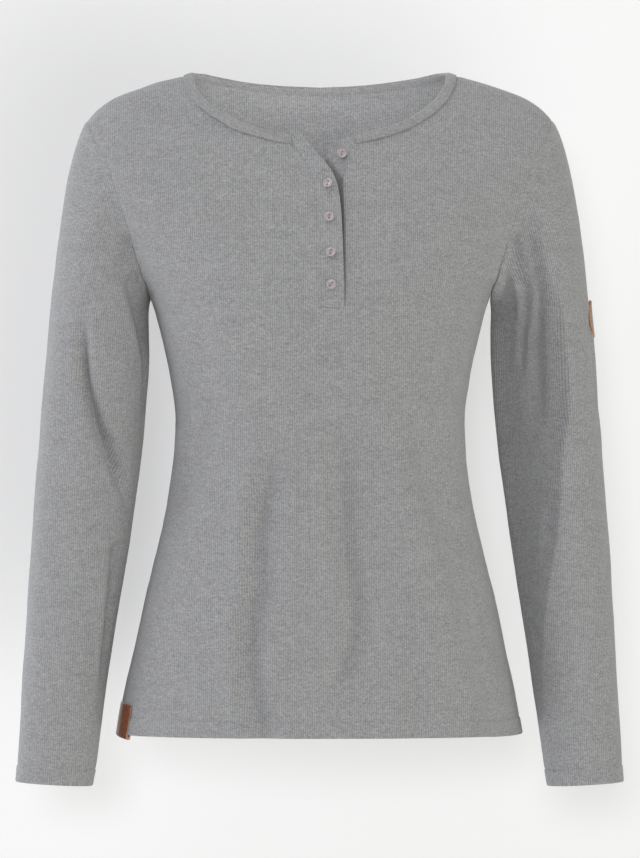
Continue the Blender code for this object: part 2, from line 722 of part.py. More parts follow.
def cut_holes(button, cutters):
    bm = bmesh.new()
    for side in (-1, 1):
        made = bmesh.ops.create_cone(bm, cap_ends=True, segments=12, radius1=BUTTON_HOLE / 2 * MM,
                                     radius2=BUTTON_HOLE / 2 * MM, depth=4 * BUTTON_WALL * MM)
        bmesh.ops.translate(bm, verts=made["verts"], vec=(0, side * BUTTON_HOLE_PITCH / 2 * MM, 0))
    mesh = bpy.data.meshes.new(button.name + "_holes")
    bm.to_mesh(mesh)
    bm.free()
    cutter = bpy.data.objects.new(mesh.name, mesh)
    cutter.parent = button
    cutter.hide_render = True
    cutter.display_type = "WIRE"
    cutters.objects.link(cutter)
    cut = button.modifiers.new("thread holes", "BOOLEAN")
    cut.operation = "DIFFERENCE"
    cut.object = cutter


def hem_label(grids, parts, leather):
    # A leather tab folded round the hem just in front of the right side seam. Its
    # ends fall inside the panel's cells, so they are read from the cells' edges.
    outer, inner, normal = grids[FRONT, WEARER_RIGHT]

    def station(column):
        k = min(int(column), COLUMNS - 1)
        share = column - k
        low, low_in = ((1 - share) * g[0, k] + share * g[0, k + 1] for g in (outer, inner))
        high = (1 - share) * outer[1, k] + share * outer[1, k + 1]
        across = unit((1 - share) * normal[0, k] + share * normal[0, k + 1])
        return fold_over(low, low_in, unit(high - low), across,
                         (LABEL_TOP, LABEL_TUCK), LEATHER, 3.0)

    crease = math.ceil(LABEL_FROM)
    columns = (LABEL_FROM, crease, (crease + LABEL_TO) / 2, LABEL_TO)
    swept_body("hem_label", [station(column) for column in columns], parts, leather)


def sleeve_patch(parts, leather):
    # A round leather patch that follows the outer side of the wearer's left sleeve.
    profile = ((0, 0), (6, 0), (12, 0), (PATCH_RADIUS - 0.3, 0), (PATCH_RADIUS, 0.4),
               (PATCH_RADIUS, PATCH_WALL - 0.6), (PATCH_RADIUS - 0.6, PATCH_WALL),
               (12, PATCH_WALL), (6, PATCH_WALL), (0, PATCH_WALL))
    bm = bmesh.new()
    verts = [bm.verts.new((x, 0, z)) for x, z in profile]
    for a, b in zip(verts, verts[1:]):
        bm.edges.new((a, b))
    bmesh.ops.spin(bm, geom=bm.verts[:] + bm.edges[:], cent=(0, 0, 0), axis=(0, 0, 1),
                   angle=math.tau, steps=ROUND_STEPS, use_merge=True, use_duplicate=False)
    bmesh.ops.remove_doubles(bm, verts=bm.verts[:], dist=0.001)
    for vert in bm.verts:
        z = PATCH_Z + vert.co.y
        section = min(z, SLEEVE_TOP_Z)
        turn = PATCH_TURN + math.degrees(vert.co.x / SLEEVE.at("half_depth", section))
        base = ring_point(WEARER_LEFT, section, turn)
        if z > SLEEVE_TOP_Z:
            slope = base - ring_point(WEARER_LEFT, SLEEVE_TOP_Z - 1, turn)
            base = base + slope * (z - SLEEVE_TOP_Z)
        normal = ring_normal(WEARER_LEFT, min(section, SLEEVE_TOP_Z - 1), turn)
        vert.co = (base + normal * (vert.co.z + PIECE_GAP)) * MM
    add_object("sleeve_patch", bm, parts, leather)


def clear_scene():
    for made in list(bpy.data.objects):
        bpy.data.objects.remove(made, do_unlink=True)


def main():
    clear_scene()
    parts = bpy.data.collections.new("henley_top")
    cutters = bpy.data.collections.new("cutters")
    bpy.context.scene.collection.children.link(parts)
    bpy.context.scene.collection.children.link(cutters)
    jersey = material("grey_rib_jersey", (0.30, 0.30, 0.305), 0.92)
    leather = material("brown_leather", (0.20, 0.055, 0.020), 0.45)
    pearl = material("pearl_button", (0.62, 0.50, 0.49), 0.30)

    grids = front_and_back(parts, jersey)
    sleeve("sleeve_right", WEARER_RIGHT, grids, parts, jersey)
    sleeve("sleeve_left", WEARER_LEFT, grids, parts, jersey)
    neck_binding(grids, parts, jersey)
    plackets(grids, parts, jersey)
    buttons(parts, cutters, pearl)
    hem_label(grids, parts, leather)
    sleeve_patch(parts, leather)


main()
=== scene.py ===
import math

import bmesh
import bpy
import numpy as np
from mathutils import Matrix, Vector


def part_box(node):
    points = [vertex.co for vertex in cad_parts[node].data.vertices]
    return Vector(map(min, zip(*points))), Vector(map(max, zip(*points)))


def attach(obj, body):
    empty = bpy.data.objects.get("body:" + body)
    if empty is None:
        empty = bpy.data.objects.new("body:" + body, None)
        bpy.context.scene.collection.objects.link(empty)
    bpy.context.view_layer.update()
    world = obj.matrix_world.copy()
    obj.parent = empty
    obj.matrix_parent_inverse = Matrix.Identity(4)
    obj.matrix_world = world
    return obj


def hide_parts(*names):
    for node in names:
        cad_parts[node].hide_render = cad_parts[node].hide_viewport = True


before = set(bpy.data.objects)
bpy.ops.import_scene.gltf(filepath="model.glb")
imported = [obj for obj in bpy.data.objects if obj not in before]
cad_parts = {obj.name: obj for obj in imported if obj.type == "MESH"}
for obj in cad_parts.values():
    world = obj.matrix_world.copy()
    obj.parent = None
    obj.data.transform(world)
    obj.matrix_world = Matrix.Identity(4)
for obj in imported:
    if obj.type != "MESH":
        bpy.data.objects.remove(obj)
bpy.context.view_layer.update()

# A long-sleeved henley top in grey rib jersey, filled out as if worn.
# Metres in Blender; the tables and dictionaries are in millimetres, in the frame's axes:
# +Z up, the front faces -Y, the wearer's left is +X.
print("frame loaded")

mm = 0.001
front, back = -1, 1  # a face's side of the Y axis
leftSide, rightSide = 1, -1  # a half's side of the X axis
faceName = {front: "front", back: "back"}


def boxInMillimetres(node):
    low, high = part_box(node)
    return np.array(low) / mm, np.array(high) / mm


garment = {
    "hemZ": boxInMillimetres("front")[0][2] + 0.3,
    "cuffZ": boxInMillimetres("sleeve_left")[0][2] + 2.0,
    "shoulderPointZ": boxInMillimetres("sleeve_left")[1][2] + 0.3,
    "underarmZ": -208.0,
    "neckHalfWidth": 120.1,
    "slitEndZ": -220.0,  # lower end of the buttoned opening
    "slitTopZ": -62.0,
    "chestLineZ": -112.0,  # height on the armhole where chest and yoke rows meet
    "roundness": 2.3,  # of the trunk's sections: 2 is an ellipse
    "wall": 1.3,  # of the jersey
    "meshStep": 3.1,  # between neighbouring points of the cloth
    "hemDepth": 16.0,  # of the turned-up hems
    "hemThicker": 0.55,  # how much they stand out
    "hemStitchDepth": 0.5,  # how far its stitches pull it in
    "hemEdgeDrop": 0.75,  # rounding of its lower edge
    "seamDepth": 0.6,  # how far a seam's valley lies in
    "seamWidth": 2.0,
    "seamWelt": 0.22,  # height of the welt behind it
    "slitDepth": {rightSide: 0.5, leftSide: 0.8},  # the valley's beside the opening
    "slitDepthLoss": 0.4,  # on the right, over 20 mm up from slitLossZ
    "slitLossZ": -100.0,
    "pucker": 0.3,  # along the seams
    "neckGroove": (0.8, 9.2, 1.2),  # depth, distance from the neck, width
    "waves": ((0.55, 0.55, 46, 11), (0.22, 0.7, 19, 12)),  # height, share of z, cell, seed
}
capHeight = {front: 120.0, back: 110.0}  # over which the shoulder rounds down
chestLineBend = {front: 52.0, back: 40.0}
neckAngle, tipAngle = 24.9, 53.2  # round the trunk: high shoulder point, shoulder point
edgeRuns = (0, 0.5, 1.1, 1.9, 3.0, 4.6)  # finer rows beside a seam
hemRuns = (0, 0.4, 0.9, 1.6, 2.6, 4.2, 6.5, 9, 11.5, 13.4, 14.6, 15.4, 16, 16.6, 17.4, 18.8, 21.4)


# shared arithmetic

def smoothStep(t):
    t = np.clip(t, 0, 1)
    return t * t * (3 - 2 * t)


def unit(vectors):
    return vectors / np.maximum(np.linalg.norm(vectors, axis=-1, keepdims=True), 1e-9)


def hermite(t, start, end, startPull, endPull):
    return ((2 * t ** 3 - 3 * t ** 2 + 1) * start + (t ** 3 - 2 * t ** 2 + t) * startPull
            + (3 * t ** 2 - 2 * t ** 3) * end + (t ** 3 - t ** 2) * endPull)


class Table:
    # rows with named columns, read smoothly between the keys in the first one
    def __init__(self, columns, rows):
        rows = np.array(rows, float)
        rows = rows[np.argsort(rows[:, 0])]
        self.keys = rows[:, 0]
        self.values = {name: rows[:, k] for k, name in enumerate(columns)}

    def at(self, name, key):
        x, y = self.keys, self.values[name]
        key = np.clip(key, x[0], x[-1])
        k = np.clip(np.searchsorted(x, key) - 1, 0, len(x) - 2)
        step = np.diff(x)
        slopes = np.diff(y) / step
        before, after = slopes[:-1], slopes[1:]
        level = before * after <= 0
        total = np.where(level, 1, before + after)
        inner = np.where(level, 0, 2 * before * after / total)
        tangents = np.concatenate((slopes[:1], inner, slopes[-1:]))
        t = (key - x[k]) / step[k]
        return hermite(t, y[k], y[k + 1], step[k] * tangents[k], step[k] * tangents[k + 1])


def crowdedShares(length, step, starts=edgeRuns, ends=edgeRuns):
    # shares of a length, an even step apart and closer together at its ends
    inside = length - starts[-1] - ends[-1]
    middle = np.linspace(starts[-1], length - ends[-1], max(round(inside / step), 1) + 1)
    runs = np.concatenate((starts[:-1], middle, length - np.array(ends[:-1])[::-1]))
    return runs / length


def softNoise(u, v, cell, seed):
    # smooth values between -1 and 1 that change over about one cell
    size = 64
    values = np.random.RandomState(seed).uniform(-1, 1, (size, size))
    a, b = u / cell, v / cell
    i, j = np.floor(a).astype(int), np.floor(b).astype(int)
    s, t = smoothStep(a - i), smoothStep(b - j)

    def corner(di, dj):
        return values[(i + di) % size, (j + dj) % size]

    return ((1 - s) * (1 - t) * corner(0, 0) + s * (1 - t) * corner(1, 0)
            + (1 - s) * t * corner(0, 1) + s * t * corner(1, 1))


def runAlong(points, axis):
    # length from the first point along an axis of a grid of points
    steps = np.linalg.norm(np.diff(points, axis=axis), axis=-1)
    start = np.zeros_like(np.take(steps, [0], axis=axis))
    return np.cumsum(np.concatenate((start, steps), axis=axis), axis=axis)


# the trunk's form, as in the solids

trunk = Table(("z", "halfWidth", "front", "back"), (
    (30, 290, 44, 60),
    (0, 285, 50, 74),
    (-43, 272, 66, 84),
    (-62, 264, 72, 88),
    (-81, 254, 79, 92),
    (-100, 240, 87, 96),
    (-121, 219, 96, 100),
    (-140, 203, 104, 103),
    (-155, 190, 110, 105),
    (-178, 179, 119, 107),
    (-196, 168, 125, 108),
    (-208, 160, 127, 107),
    (-240, 150.4, 124, 102),
    (-287, 140, 110, 94),
    (-324, 135.4, 102, 90),
    (-352, 136.3, 99.5, 90),
    (-400, 142.9, 100, 97),
    (-447, 153.2, 103, 105),
    (-494, 164.5, 105, 111),
    (-541, 174.8, 106, 114),
    (-588, 185.2, 106.5, 114),
    (-620, 190.8, 107, 114),
))
shoulderLine = Table(("angle", "z"), (
    (0, 30), (12, 22), (24.9, 1), (28, -2.8), (33.8, -9.4), (41.3, -18.8),
    (44.4, -23.5), (49.1, -33), (53.2, -43), (65, -66), (90, -95),
))
armholeSeam = Table(("z", "front", "back"), (
    (-43, 217.8, 217.8), (-62, 210.6, 213), (-81, 200, 206), (-100, 193.4, 200),
    (-121, 186.8, 194), (-140, 180.2, 187), (-155, 176.3, 181), (-178, 169.7, 172.5),
    (-196, 163.7, 164.7), (-208, 160, 160),
))
neckline = {
    front: Table(("across", "z"), (
        (0, -63.5), (30, -60.7), (50, -56.3), (76, -48), (91, -39.5), (102, -31.8),
        (110, -24), (116, -14.5), (119.5, -5), (120.1, 1),
    )),
    back: Table(("across", "z"), (
        (0, -10), (34, -8.6), (75, -4.6), (90, -2.6), (102, -0.6), (112, 1.0), (120.1, 1),
    )),
}
# the two edges of the front, the upper band's free edge and lift, the roll of that
# edge, and the hidden edge of the lower band
opening = Table(("z", "rightEdge", "leftEdge", "freeEdge", "lift", "roll", "underEdge"), (
    (-220, -1.5, 22.6, 22.2, 1.6, 0.9, -2.4),
    (-200, -1.5, 23.0, 22.3, 1.8, 1.0, -1.4),
    (-186, -1.6, 23.0, 21.9, 2.0, 1.0, -1.4),
    (-170, -1.9, 23.0, 21.4, 2.3, 1.1, -1.4),
    (-157, -2.1, 22.9, 20.9, 2.7, 1.1, -1.4),
    (-143, -2.4, 22.8, 20.2, 3.2, 1.2, -1.4),
    (-130, -2.8, 22.4, 19.4, 3.7, 1.3, -1.4),
    (-117, -2.8, 21.8, 17.9, 4.2, 1.5, -1.4),
    (-103, -5.2, 21.4, 14.6, 4.5, 1.8, -1.1),
    (-95, -7.8, 22.6, 10.9, 4.5, 2.0, 0.2),
    (-86, -12.0, 24.6, 4.4, 4.3, 2.2, 3.0),
    (-78, -17.6, 26.8, -2.8, 3.9, 2.3, 5.8),
    (-69, -23.6, 29.2, -9.2, 3.5, 2.2, 8.2),
    (-62, -24.8, 30.8, -15.8, 3.1, 2.0, 10.0),
))


def capDrop(turn):
    return np.where(turn < np.pi / 2, 1 - np.cos(turn), 1 + turn - np.pi / 2)


def capTurn(drop):
    return np.where(drop < 1, np.arccos(1 - np.clip(drop, 0, 1)), np.pi / 2 + drop - 1)


def trunkForm(face, angle, turn):
    # angle in degrees round the trunk, turn in radians down from the shoulder line
    z = shoulderLine.at("z", np.abs(angle)) - capHeight[face] * capDrop(np.abs(turn))
    lean = np.sin(np.radians(angle))
    bulge = np.maximum(1 - np.abs(lean) ** garment["roundness"], 0) ** (1 / garment["roundness"])
    depth = trunk.at(faceName[face], z) * bulge
    depth = np.where(np.abs(angle) > 90, -depth, depth) * np.where(turn < np.pi / 2, np.sin(turn), 1)
    return np.stack((trunk.at("halfWidth", z) * lean, face * depth, z), axis=-1)


def turnAt(face, angle, z):
    # how far down from the shoulder line the cloth has turned at a height
    return capTurn((shoulderLine.at("z", np.abs(angle)) - z) / capHeight[face])


def trunkPlace(face, across, z):
    angle = np.degrees(np.arcsin(np.clip(across / trunk.at("halfWidth", z), -1, 1)))
    return np.stack((angle, turnAt(face, angle, z)), axis=-1)


def trunkNormal(face, angle, turn):
    small = 0.3
    tilt = math.radians(small)
    across = trunkForm(face, angle + small, turn) - trunkForm(face, angle - small, turn)
    down = trunkForm(face, angle, turn + tilt) - trunkForm(face, angle, turn - tilt)
    return unit(np.cross(across, down)) * face


# folds and waves of the cloth

foldShape = {
    "reach": 3.2,  # how far a fold is felt, in its half widths
    "ridgeAt": 1.55,  # distance of its two soft ridges, in the same
    "trough": 1.5,  # sharpness of the trough and of the ridges
    "ridges": 2.2,
    "steeper": 0.35,  # how much lean does to the slopes
    "pathStep": 9.0,
}


def pathThrough(points):
    points = np.array(points, float)
    run = np.concatenate(([0], np.cumsum(np.linalg.norm(np.diff(points, axis=0), axis=1))))
    curve = Table(("run", "a", "b"), np.column_stack((run, points)))
    along = np.linspace(0, run[-1], max(int(run[-1] / foldShape["pathStep"]), 3) + 1)
    return np.column_stack((curve.at("a", along), curve.at("b", along)))


def foldHeight(fold, a, b):
    # a trough along a path with a soft ridge on each side; lean makes one side steeper
    path = pathThrough(fold["path"])
    width, reach = fold["width"], foldShape["reach"] * fold["width"]
    low, high = path.min(axis=0) - reach, path.max(axis=0) + reach
    near = (a > low[0]) & (a < high[0]) & (b > low[1]) & (b < high[1])
    height = np.zeros_like(a)
    if not near.any():
        return height
    pa, pb = a[near], b[near]
    best = np.full(pa.shape, np.inf)
    along, signed = np.zeros_like(pa), np.zeros_like(pa)
    run = 0.0
    for start, end in zip(path, path[1:]):
        d = end - start
        length = np.hypot(*d)
        t = np.clip(((pa - start[0]) * d[0] + (pb - start[1]) * d[1]) / length ** 2, 0, 1)
        ea, eb = pa - start[0] - t * d[0], pb - start[1] - t * d[1]
        distance = np.hypot(ea, eb)
        closer = distance < best
        best = np.where(closer, distance, best)
        along = np.where(closer, run + t * length, along)
        signed = np.where(closer, distance * np.sign(d[0] * eb - d[1] * ea), signed)
        run += length
    fadeIn, fadeOut = fold["fade"]
    fade = smoothStep(along / fadeIn) if fadeIn else 1.0
    fade = fade * (smoothStep((run - along) / fadeOut) if fadeOut else 1.0)
    s = signed / width
    s = s * (1 + foldShape["steeper"] * fold["lean"] * np.tanh(2 * s))
    trough = np.exp(-foldShape["trough"] * s ** 2)
    sharp, away = foldShape["ridges"], foldShape["ridgeAt"]
    ridge = sum((1 + way * fold["lean"]) * np.exp(-sharp * (s - way * away) ** 2) for way in (1, -1))
    height[near] = fold["depth"] * fade * (fold["ridge"] * ridge - trough)
    return height


def foldList(*rows):
    names = ("width", "depth", "ridge", "lean", "fade", "path")
    return [dict(zip(names, row)) for row in rows]


# Half width, depth, ridge share, lean, fade lengths at start and end, path. On the trunk
# a path holds (across, z); a fade of 0 starts at full depth, as at a seam.
trunkFolds = {
    front: foldList(
        # long soft drapes from the bust to the hem
        (13, 4.0, 0.2, -0.5, (50, 60), ((-91, -294), (-108, -338), (-122, -380), (-139, -448))),
        (14, 10.0, 0.15, -0.7, (110, 0), (
            (-46, -300), (-44, -350), (-54, -400), (-58, -440), (-57, -475), (-65, -512), (-67, -543),
            (-62, -587), (-55, -618))),
        (14, 8.5, 0.15, -0.7, (110, 60), (
            (14, -290), (16, -350), (20, -401), (22, -440), (27, -470), (30, -500), (27, -528), (17, -560),
            (10, -600))),
        (19, 8.0, 0.15, -0.6, (90, 0), (
            (84, -290), (94, -340), (104, -380), (113, -400), (122, -426), (130, -456), (141, -500),
            (150, -535), (159, -568), (168, -618))),
        (12, 3.0, 0.25, 0.0, (60, 0), ((83, -515), (88, -565), (90, -618))),
        (11, 1.8, 0.3, 0.2, (26, 30), ((114, -216), (122, -251), (125, -285))),
        (12, 2.4, 0.25, 0.2, (40, 40), ((-105, -214), (-109, -260), (-101, -310))),
        (12, 1.6, 0.25, 0.0, (50, 0), ((-118, -520), (-124, -570), (-131, -618))),
        (14, 1.5, 0.25, 0.0, (60, 40), ((63, -420), (66, -490), (61, -545))),
        # shoulders and chest
        (12, 4.5, 0.25, 0.1, (30, 50), ((-176, -24), (-143, -36), (-113, -49), (-70, -68))),
        (11, 1.6, 0.3, 0.0, (24, 40), ((-178, -88), (-142, -112), (-100, -134))),
        (14, 2.6, 0.3, 0.0, (30, 50), ((168, -108), (136, -141), (112, -180))),
        (10, 0.8, 0.3, 0.0, (24, 30), ((150, -58), (122, -84), (98, -104))),
        (9, 1.3, 0.4, 0.3, (4, 34), ((164, -196), (140, -206), (112, -224))),
        (9, 1.3, 0.4, -0.3, (4, 34), ((-165, -192), (-140, -206), (-112, -228))),
        (7, 0.9, 0.4, 0.3, (4, 24), ((170, -176), (152, -186), (132, -198))),
        (7, 0.9, 0.4, -0.3, (4, 24), ((-170, -178), (-150, -190), (-130, -205))),
        (14, 0.9, 0.2, 0.0, (40, 50), ((-62, -150), (-70, -205), (-66, -262))),
        (15, 0.9, 0.2, 0.0, (50, 50), ((66, -132), (74, -190), (70, -250))),
    ),
    back: foldList(
        # the hollow of the spine and drags below the arms
        (17, 3.0, 0.25, 0.0, (60, 70), ((-62, -262), (-46, -350), (-50, -428), (-60, -490))),
        (17, 3.0, 0.25, 0.0, (60, 70), ((54, -256), (40, -345), (46, -430), (58, -500))),
        (16, 2.4, 0.25, 0.0, (70, 60), ((4, -290), (-6, -380), (2, -470), (8, -560))),
        (15, 2.2, 0.3, 0.2, (40, 50), ((112, -290), (104, -360), (120, -440))),
        (15, 2.2, 0.3, -0.2, (40, 50), ((-116, -286), (-106, -368), (-124, -450))),
        (11, 1.8, 0.35, 0.2, (5, 50), ((168, -186), (132, -214), (88, -236))),
        (11, 1.8, 0.35, -0.2, (5, 50), ((-168, -190), (-136, -222), (-92, -250))),
        (9, 1.2, 0.4, 0.2, (5, 36), ((172, -160), (146, -176), (120, -184))),
        (9, 1.2, 0.4, -0.2, (5, 36), ((-174, -156), (-150, -170), (-118, -182))),
        (9, 1.4, 0.35, 0.1, (20, 30), ((-128, -300), (-96, -318), (-70, -316))),
        (9, 1.3, 0.35, -0.1, (20, 30), ((130, -318), (100, -334), (74, -330))),
        (9, 1.1, 0.35, 0.0, (26, 30), ((-60, -330), (-20, -342), (24, -336))),
        # its hem and shoulders
        (12, 1.4, 0.25, 0.0, (50, 0), ((-96, -530), (-104, -575), (-108, -618))),
        (12, 1.4, 0.25, 0.0, (50, 0), ((98, -520), (106, -570), (112, -618))),
        (12, 1.2, 0.25, 0.0, (50, 0), ((-14, -560), (-12, -590), (-16, -618))),
        (12, 1.3, 0.3, 0.0, (30, 50), ((150, -60), (120, -92), (96, -140))),
        (12, 1.3, 0.3, 0.0, (30, 50), ((-148, -66), (-118, -96), (-98, -150))),
        (12, 0.9, 0.3, 0.0, (40, 60), ((-30, -40), (-34, -110), (-24, -180))),
        (12, 0.9, 0.3, 0.0, (40, 60), ((36, -46), (38, -120), (30, -190))),
    ),
}


def trunkRelief(face, point):
    x, y, z = np.moveaxis(point, -1, 0)
    lift = np.zeros_like(x)
    for fold in trunkFolds[face]:
        lift += foldHeight(fold, x, z)
    below = z < garment["underarmZ"]
    toSide = np.where(below, np.hypot(trunk.at("halfWidth", z) - np.abs(x), y), 99)
    lift = lift * smoothStep(toSide / 16)
    run = x + 1.3 * y
    lift += sum(height * softNoise(run, z * share, cell, seed)
                for height, share, cell, seed in garment["waves"])
    pucker = softNoise(z, np.sign(x) * 40.0 + 0 * z, 7, 13) * np.exp(-toSide / 7)
    return lift + garment["pucker"] * pucker


def panelSkin(face, places):
    # places hold (angle, turn); gives the cloth's outer points and normals
    angle, turn = places[..., 0], places[..., 1]
    normal = trunkNormal(face, angle, turn)
    point = trunkForm(face, angle, turn)
    return point + normal * trunkRelief(face, point)[..., None], normal


def chestSkin(across, z, lift=0.0):
    point, normal = panelSkin(front, trunkPlace(front, across, z))
    return point + normal * np.asarray(lift)[..., None], normal


# laying out the front and the back

def evenly(face, curve, shares):
    # places along a curve, with the cloth's length between them shared out as asked
    samples = np.linspace(0, 1, 401)
    places = curve(samples)
    run = runAlong(trunkForm(face, places[..., 0], places[..., 1]), 0)
    return curve(np.interp(shares * run[-1], run, samples))


def blendPatch(bottom, top, left, right, s, t):
    s, t = s[None, :, None], t[:, None, None]
    corners = (1 - t) * ((1 - s) * bottom[0] + s * bottom[-1]) + t * ((1 - s) * top[0] + s * top[-1])
    return (1 - t) * bottom[None] + t * top[None] + (1 - s) * left[:, None] + s * right[:, None] - corners


def halfPanel(face, side):
    # places (angle, turn) of one half, from its inner edge to the side seam and armhole
    # and from the hem to the shoulder seam, and the number of skirt and chest rows
    slit = {rightSide: "rightEdge", leftSide: "leftEdge"}[side]
    openFront = face == front
    name, neck, step = faceName[face], neckline[face], garment["meshStep"]
    underarm, middleZ = garment["underarmZ"], garment["chestLineZ"]
    baseZ = garment["slitEndZ"] if openFront else underarm
    columns = crowdedShares(185, step, edgeRuns if openFront else (0,))
    cornerX = abs(float(opening.at(slit, garment["slitTopZ"]))) if openFront else 0.0
    cornerZ = float(neck.at("z", cornerX))

    def innerX(z):
        return side * opening.at(slit, z) if openFront else 0.0 * np.asarray(z, float)

    def slitEdge(share):
        z = baseZ + (cornerZ - baseZ) * share
        return trunkPlace(face, innerX(z), z)

    def armhole(low, high):
        def edge(share):
            z = low + (high - low) * share
            return trunkPlace(face, armholeSeam.at(name, z), z)
        return edge

    def chestLine(share):
        start = (float(innerX(cornerZ)), cornerZ)
        end = (float(armholeSeam.at(name, middleZ)), middleZ)
        x, z = ((1 - share) ** 2 * a + 2 * share * (1 - share) * b + share ** 2 * c
                for a, b, c in zip(start, (chestLineBend[face], middleZ), end))
        return trunkPlace(face, x, z)

    def neckEdge(share):
        wide = garment["neckHalfWidth"]
        x = wide - (wide - float(innerX(cornerZ))) * (1 - share) ** 2
        return trunkPlace(face, x, np.where(x > 0, neck.at("z", x), cornerZ))

    def shoulder(share):
        angle = neckAngle + (tipAngle - neckAngle) * share
        return np.stack((angle, 0 * angle), axis=-1)

    first = float(trunkPlace(face, side * innerX(baseZ), baseZ)[0]) * side
    angles = first + (90 - first) * columns
    tops = baseZ + (underarm - baseZ) * smoothStep(columns)
    bottom = np.stack((angles, turnAt(face, angles, tops)), -1)

    skirtLength = underarm - garment["hemZ"]
    skirtRows = crowdedShares(skirtLength, step, hemRuns, (0,))[:-1, None]
    z = garment["hemZ"] + (tops - garment["hemZ"]) * skirtRows
    edge = float(innerX(garment["slitEndZ"])) if openFront else 0.0
    inner = np.degrees(np.arcsin(edge / trunk.at("halfWidth", z)))
    angle = inner + (90 - inner) * columns
    skirt = np.stack((angle, turnAt(face, angle, z)), -1)

    chestRows = crowdedShares(128, step, (0,), (0,))
    yokeRows = crowdedShares(100, step, (0,))
    middle = evenly(face, chestLine, columns)
    chest = blendPatch(bottom, middle, evenly(face, slitEdge, chestRows),
                       evenly(face, armhole(underarm, middleZ), chestRows), columns, chestRows)
    yoke = blendPatch(middle, evenly(face, shoulder, columns), evenly(face, neckEdge, yokeRows),
                      evenly(face, armhole(middleZ, garment["shoulderPointZ"]), yokeRows), columns, yokeRows)
    places = np.concatenate((skirt, chest[:-1], yoke))
    places[..., 0] *= side
    return places, len(skirt), len(chest) - 1


def seamValley(distance, depth=None):
    # the cloth beside a seam dips in, with a low welt behind
    depth = garment["seamDepth"] if depth is None else depth
    near = np.clip(1 - distance / garment["seamWidth"], 0, 1)
    return garment["seamWelt"] * np.exp(-((distance - 5.0) / 2.0) ** 2) - depth * near ** 2


def hemRelief(height):
    # a turned-up hem is thicker up to its stitches, which pull it in
    stitched = height - garment["hemDepth"]
    thick = garment["hemThicker"] * (1 - smoothStep((stitched + 1.6) / 2.4))
    thick = thick - garment["hemStitchDepth"] * np.exp(-stitched ** 2)
    return thick - garment["hemEdgeDrop"] * np.clip(1 - height / 1.4, 0, 1) ** 2


def girthRun(face, angle, z):
    # distance round the trunk from its centre, on the section at that height
    steps = 48
    shares = np.linspace(0, 1, steps + 1)
    lean = np.sin(np.radians(angle[..., None] * shares))
    n = garment["roundness"]
    bulge = np.maximum(1 - np.abs(lean) ** n, 0) ** (1 / n)
    x = trunk.at("halfWidth", z)[..., None] * lean
    y = trunk.at(faceName[face], z)[..., None] * bulge
    return np.sign(angle) * np.hypot(np.diff(x), np.diff(y)).sum(axis=-1)


def climbRun(face, angle, turn):
    # height of a point, with the rounding over the shoulder rolled out
    steps = 24
    shares = np.linspace(0, 1, steps + 1)
    lower = np.minimum(turn, np.pi / 2)
    turns = lower[..., None] + (np.pi / 2 - lower[..., None]) * shares
    points = trunkForm(face, np.broadcast_to(angle[..., None], turns.shape), turns)
    rolled = np.linalg.norm(np.diff(points, axis=-2), axis=-1).sum(axis=-1)
    return trunkForm(face, angle, np.maximum(turn, np.pi / 2))[..., 2] + rolled


def ribRuns(face, places, z):
    # lengths across and along the ribs of a panel
    angle, turn = places[..., 0], places[..., 1]
    return np.stack((girthRun(face, angle, z), climbRun(face, angle, turn)), axis=-1)


def layPanel(face, side):
    # one half of the front or back as a grid, with what other pieces need of it
    places, skirtCount, chestCount = halfPanel(face, side)
    points, normals = panelSkin(face, places)
    base = trunkForm(face, places[..., 0], places[..., 1])
    toOuter = runAlong(base[:, ::-1], 1)[:, ::-1]
    toShoulder = runAlong(base[::-1], 0)[::-1]
    toInner = runAlong(base, 1)
    lift = seamValley(toOuter) + seamValley(toShoulder) + hemRelief(base[..., 2] - garment["hemZ"])
    if face == front:
        depth = garment["slitDepth"][side]
        if side == rightSide:
            depth = depth - garment["slitDepthLoss"] * smoothStep((base[..., 2] - garment["slitLossZ"]) / 20)
        lift = lift + seamValley(toInner, depth) * smoothStep((base[..., 2] - garment["slitEndZ"] - 2) / 5)
    neckRows = np.arange(len(places)) >= skirtCount + chestCount
    deep, away, wide = garment["neckGroove"]
    lift = lift - deep * np.exp(-((toInner - away) / wide) ** 2) * neckRows[:, None]
    return {"points": points + normals * lift[..., None], "normals": normals, "skin": points,
            "uv": ribRuns(face, places, base[..., 2]), "skirt": skirtCount, "chest": chestCount,
            "places": places}


def belowOpening(panels):
    # the strip of the front between its halves, from the hem to the opening's end
    right, left = panels[front, rightSide], panels[front, leftSide]
    rows = right["skirt"] + 1
    shares = np.linspace(0, 1, 9)[None, :]
    z = trunkForm(front, right["places"][:rows, 0, 0], right["places"][:rows, 0, 1])[:, 2][:, None]
    edges = (opening.at("rightEdge", garment["slitEndZ"]), opening.at("leftEdge", garment["slitEndZ"]))
    across = edges[0] + (edges[1] - edges[0]) * shares + 0 * z
    z = z + 0 * across
    place = trunkPlace(front, across, z)
    points, normals = panelSkin(front, place)
    points = points + normals * hemRelief(z - garment["hemZ"])[..., None]
    points[:, 0], points[:, -1] = right["points"][:rows, 0], left["points"][:rows, 0]
    return {"points": points, "normals": normals, "uv": ribRuns(front, place, z)}


# meshes

def newObject(name, data):
    made = bpy.data.objects.new(name, data)
    bpy.context.scene.collection.objects.link(made)
    return made


def meshFrom(bm, name):
    mesh = bpy.data.meshes.new(name)
    bm.to_mesh(mesh)
    bm.free()
    return mesh


def smoothMesh(mesh, sharpFrom=None):
    # smooth shading, with edges kept sharp from an angle up
    mesh.shade_smooth()
    if sharpFrom:
        mesh.set_sharp_from_angle(angle=math.radians(sharpFrom))
    return mesh


